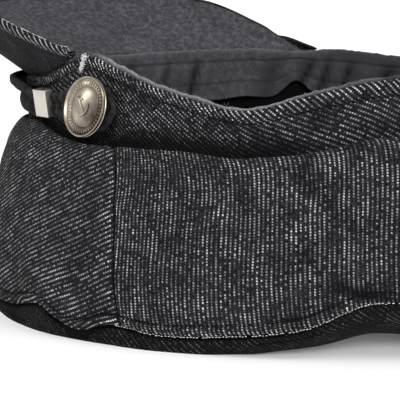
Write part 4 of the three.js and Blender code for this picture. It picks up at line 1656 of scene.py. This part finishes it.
@dataclass
class Bartack:
    """The pale, fuzzy bar of thread at the peak's right end."""

    around: float = 65.7
    height: float = 4.8
    wide: float = 2.9
    lean: float = 0.38
    strands: int = 21
    seed: int = 11

    def build(self, finishes: Finishes) -> bpy.types.Object:
        """Builds the bar as close strands of thread, each a bent tube, with a few loose ends."""
        rng = np.random.default_rng(self.seed)
        points: list[Array] = []
        faces: list[tuple[int, ...]] = []
        face_point = FORM.place(np.array(self.around), np.array(FORM.band_out + 0.5), FORM.rim_z(self.around) - 2.1)
        outward = FORM.outward(np.array(self.around))
        back = np.array([-outward[1], outward[0], 0])
        up = np.array([0, 0, 1.0])
        for k in range(self.strands + 16):
            loose = k >= self.strands
            z = (k % self.strands) / (self.strands - 1) - 0.5
            length = self.wide * rng.uniform(0.6, 1.2)
            turn = rng.normal(0.3, 0.3) if not loose else rng.uniform(0, math.pi)
            along = back * math.cos(turn) + up * math.sin(turn)
            middle = face_point + up * z * self.height + back * (z * self.height * self.lean + rng.normal(0, 0.22))
            reach = length if not loose else rng.uniform(1.4, 2.4)
            steps = np.linspace(-0.5, 0.5, 7)
            bow = (1 - (2 * steps) ** 2) * 0.35
            curve = middle + along * (steps * reach)[:, None] + outward * (bow + 0.15)[:, None]
            if loose:
                curve = curve + rng.normal(0, 0.12, curve.shape)
            tube(curve, 0.14 if not loose else 0.05, points, faces)
        piece = mesh_object("pale_bartack", points, faces)
        return dress(piece, finishes.pale_thread)


@dataclass
class Fuzz:
    """Stray fibres along the near rim and the peak's near edge."""

    fibres: int = 520
    seed: int = 5

    def build(self, finishes: Finishes) -> bpy.types.Object:
        """Builds the fibres as thin, bent tubes."""
        rng = np.random.default_rng(self.seed)
        points: list[Array] = []
        faces: list[tuple[int, ...]] = []
        for _ in range(self.fibres):
            around = rng.uniform(66, 128) if rng.random() < 0.75 else rng.uniform(-180, 180)
            out = FORM.sweatband_wall + 0.6 + rng.normal(0, 0.5)
            root = FORM.place(np.array(around), np.array(out), FORM.rim_z(around) - 0.5)
            along = rng.normal(0, 1, 3) + (0, 0, 0.9)
            bend = rng.normal(0, 0.5, 3)
            steps = np.linspace(0, 1, 5)[:, None]
            length = rng.uniform(0.3, 1.15)
            curve = root + length * (steps * along / np.linalg.norm(along) + steps**2 * bend)
            tube(curve, 0.02, points, faces, sides=3)
        piece = mesh_object("pale_rim_fibres", points, faces)
        return dress(piece, finishes.grey_fibre)


@dataclass
class EdgeThread:
    """The pale binding thread along the peak's near edge."""

    peak: Peak
    start: float = 22.0
    thick: float = 0.14
    seed: int = 3

    def build(self, finishes: Finishes) -> bpy.types.Object:
        """Builds the thread as short lengths that follow the edge."""
        rng = np.random.default_rng(self.seed)
        turn = np.linspace(-self.peak.turn_end, self.peak.turn_end, 700)
        line = self.peak.edge_line(turn)
        points: list[Array] = []
        faces: list[tuple[int, ...]] = []
        i = 0
        while i < len(turn) - 12:
            step = int(rng.integers(7, 13))
            if turn[i] > self.start and rng.random() < 0.9:
                curve = line[i : i + step] + rng.normal(0, 0.05, (step, 3))
                tube(curve + (0, 0, rng.normal(0, 0.1)), self.thick * rng.uniform(0.7, 1.2), points, faces)
            i += step - 2
        piece = mesh_object("pale_peak_thread", points, faces)
        return dress(piece, finishes.pale_thread)


def tube(
    curve: Array, radius: float, points: list[Array], faces: list[tuple[int, ...]], sides: int = 6
) -> None:
    """Adds a closed tube along a curve to a mesh's points and faces."""
    first = len(points)
    tangent = np.gradient(curve, axis=0)
    tangent /= np.linalg.norm(tangent, axis=1, keepdims=True)
    for p, t in zip(curve, tangent):
        a = np.cross(t, (0.3, 0.2, 0.93))
        a /= np.linalg.norm(a)
        b = np.cross(t, a)
        for k in range(sides):
            turn = 2 * math.pi * k / sides
            points.append(p + radius * (a * math.cos(turn) + b * math.sin(turn)))
    for i in range(len(curve) - 1):
        for k in range(sides):
            m = (k + 1) % sides
            row = first + i * sides
            faces.append((row + k, row + m, row + sides + m, row + sides + k))
    faces.append(tuple(first + k for k in range(sides))[::-1])
    last = first + (len(curve) - 1) * sides
    faces.append(tuple(last + k for k in range(sides)))


# The studio


@dataclass
class Studio:
    """A pale floor, soft light and the camera at the photo's angle."""

    camera_at: tuple[float, float, float] = (306.1, -564.9, 119.1)
    aim: tuple[float, float, float] = (-20.36, -21.63, 30.0)
    lens: float = 180.0

    def camera(self) -> None:
        """Adds the camera."""
        data = bpy.data.cameras.new("camera")
        data.lens, data.sensor_width = self.lens, 36.0
        data.clip_start, data.clip_end = 0.01, 100.0
        made = bpy.data.objects.new("camera", data)
        bpy.context.scene.collection.objects.link(made)
        made.location = Vector(self.camera_at) * MM
        back = Vector(self.camera_at) - Vector(self.aim)
        made.rotation_mode = "QUATERNION"
        made.rotation_quaternion = (-back).to_track_quat("-Z", "Y")
        bpy.context.scene.camera = made

    def floor(self) -> None:
        """Adds the floor."""
        clear_selection()
        bpy.ops.mesh.primitive_plane_add(size=40)
        floor = bpy.context.active_object
        floor.name = "floor"
        s = Shader("pale_floor")
        tint = s.noise(s.place(), 0.3, 2.0)
        tone = s.mix(tint, (0.93, 0.93, 0.93), (0.95, 0.95, 0.95))
        dress(floor, s.surface(Base_Color=tone, Roughness=0.9, Emission_Color=(1.0, 1.0, 1.0), Emission_Strength=0.1))

    def sun(self, name: str, towards: tuple[float, float, float], strength: float, wide: float) -> None:
        """Adds a wide, soft light that is the same all over the floor."""
        data = bpy.data.lights.new(name, "SUN")
        data.energy, data.angle = strength, math.radians(wide)
        made = bpy.data.objects.new(name, data)
        bpy.context.scene.collection.objects.link(made)
        made.rotation_mode = "QUATERNION"
        made.rotation_quaternion = (-Vector(towards)).to_track_quat("-Z", "Y")

    def light(self, name: str, at: tuple[float, float, float], size: float, power: float) -> None:
        """Adds a square soft light that looks at the cap."""
        data = bpy.data.lights.new(name, "AREA")
        data.shape, data.size, data.energy = "SQUARE", size, power
        made = bpy.data.objects.new(name, data)
        bpy.context.scene.collection.objects.link(made)
        made.location = at
        made.rotation_mode = "QUATERNION"
        made.rotation_quaternion = (-Vector(at)).to_track_quat("-Z", "Y")

    def build(self) -> None:
        """Sets up the floor, the lights and the camera."""
        scene = bpy.context.scene
        scene.view_settings.view_transform = "Standard"
        world = bpy.data.worlds.new("white_studio")
        world.use_nodes = True
        background = world.node_tree.nodes["Background"]
        background.inputs["Color"].default_value = (1, 1, 1, 1)
        background.inputs["Strength"].default_value = 0.58
        scene.world = world
        self.floor()
        self.sun("soft_key", (0.62, 0.1, 0.78), 0.9, 30)
        self.sun("soft_front", (0.55, -0.72, 0.43), 2.3, 30)
        self.light("soft_left", (-1.5, -0.75, 0.8), 0.5, 4)
        self.camera()


# The main call


@dataclass(frozen=True)
class Cut:
    """A sheet as it was cut: its flat width and length in mm, its area in mm2, and how it is held."""

    width: float
    length: float
    area: float
    held: str
    rests_on: tuple[str, ...]

    def declare(self, piece: bpy.types.Object, *on_it: bpy.types.Object) -> None:
        """Takes a piece and the pieces that go with it, and only makes a list of the sheets that this one rests on.
        """
        list(self.rests_on)


# Each area is half of that piece's own surface here; the widths and lengths are estimates that fit it.
CUTS = {
    "denim_crown_front": Cut(60, 290, 17000, "stretched", ("band", "crown_top")),
    "denim_crown_side_right": Cut(60, 195, 11450, "stretched", ("band", "crown_top")),
    "denim_crown_side_left": Cut(60, 190, 10950, "stretched", ("band", "crown_top")),
    "denim_crown_top": Cut(228, 252, 45000, "laid", ("crown_front",)),
    "denim_band": Cut(30, 592, 13400, "stretched", ("crown_front",)),
    "cotton_sweatband": Cut(18, 580, 10400, "stretched", ("band",)),
    "denim_peak": Cut(60, 154, 8000, "folded", ("band",)),
    "grey_peak_underside": Cut(50, 150, 6900, "laid", ("peak_top",)),
    "suede_strap": Cut(14.5, 255, 3650, "gathered", ("button_right", "button_left")),
}


def ride(piece: bpy.types.Object, slot: str, *nodes: str) -> None:
    """Makes a piece ride on the cap, hides the nodes that it stands for, and logs its size."""
    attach(piece, BODY)
    if nodes:
        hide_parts(*nodes)
    surface = sum(face.area for face in piece.data.polygons) / MM**2
    low = min(vertex.co.z for vertex in piece.data.vertices) / MM
    log.info("%s: %d faces, surface %.0f mm2, lowest at %.2f mm", piece.name, len(piece.data.polygons), surface, low)


def main() -> None:
    """Builds the studio and every piece of the cap, in order."""
    logging.basicConfig(level=logging.INFO, format="%(message)s")
    Studio().build()
    finishes = Finishes.made()
    crown = Crown()
    band = Band()
    peak = Peak()
    denim, grey = peak.build(finishes)
    sheets = [(panel.build(finishes), "denim", panel.name.replace("denim_", "")) for panel in crown.panels()]
    sheets += [
        (crown.top(finishes), "denim", "crown_top"),
        (band.build(finishes), "denim", "band"),
        (Sweatband(band).build(finishes), "sweatband_cotton", "sweatband"),
        (denim, "denim", "peak_top"),
        (grey, "peak_underside", "peak_under"),
        (Strap().build(finishes), "strap", "strap"),
    ]
    for piece, slot, node in sheets:
        ride(piece, slot, node)
    on_sheets = {
        "denim_crown_top": [TipStitches().build(finishes)],
        "denim_peak": [EdgeThread(peak).build(finishes)],
        "denim_band": [Bartack().build(finishes), Fuzz().build(finishes)],
    }
    for pieces in on_sheets.values():
        for piece in pieces:
            ride(piece, "denim")
    for piece, _, _ in sheets:
        CUTS[piece.name].declare(piece, *on_sheets.get(piece.name, []))
    for side in Side:
        ride(Slider(side).build(finishes), "slider_steel", f"slider_{side.name.lower()}")
        ride(Button(side).build(finishes), "button_silver", f"button_{side.name.lower()}")
    clear_selection()


if __name__ == "__main__":
    main()
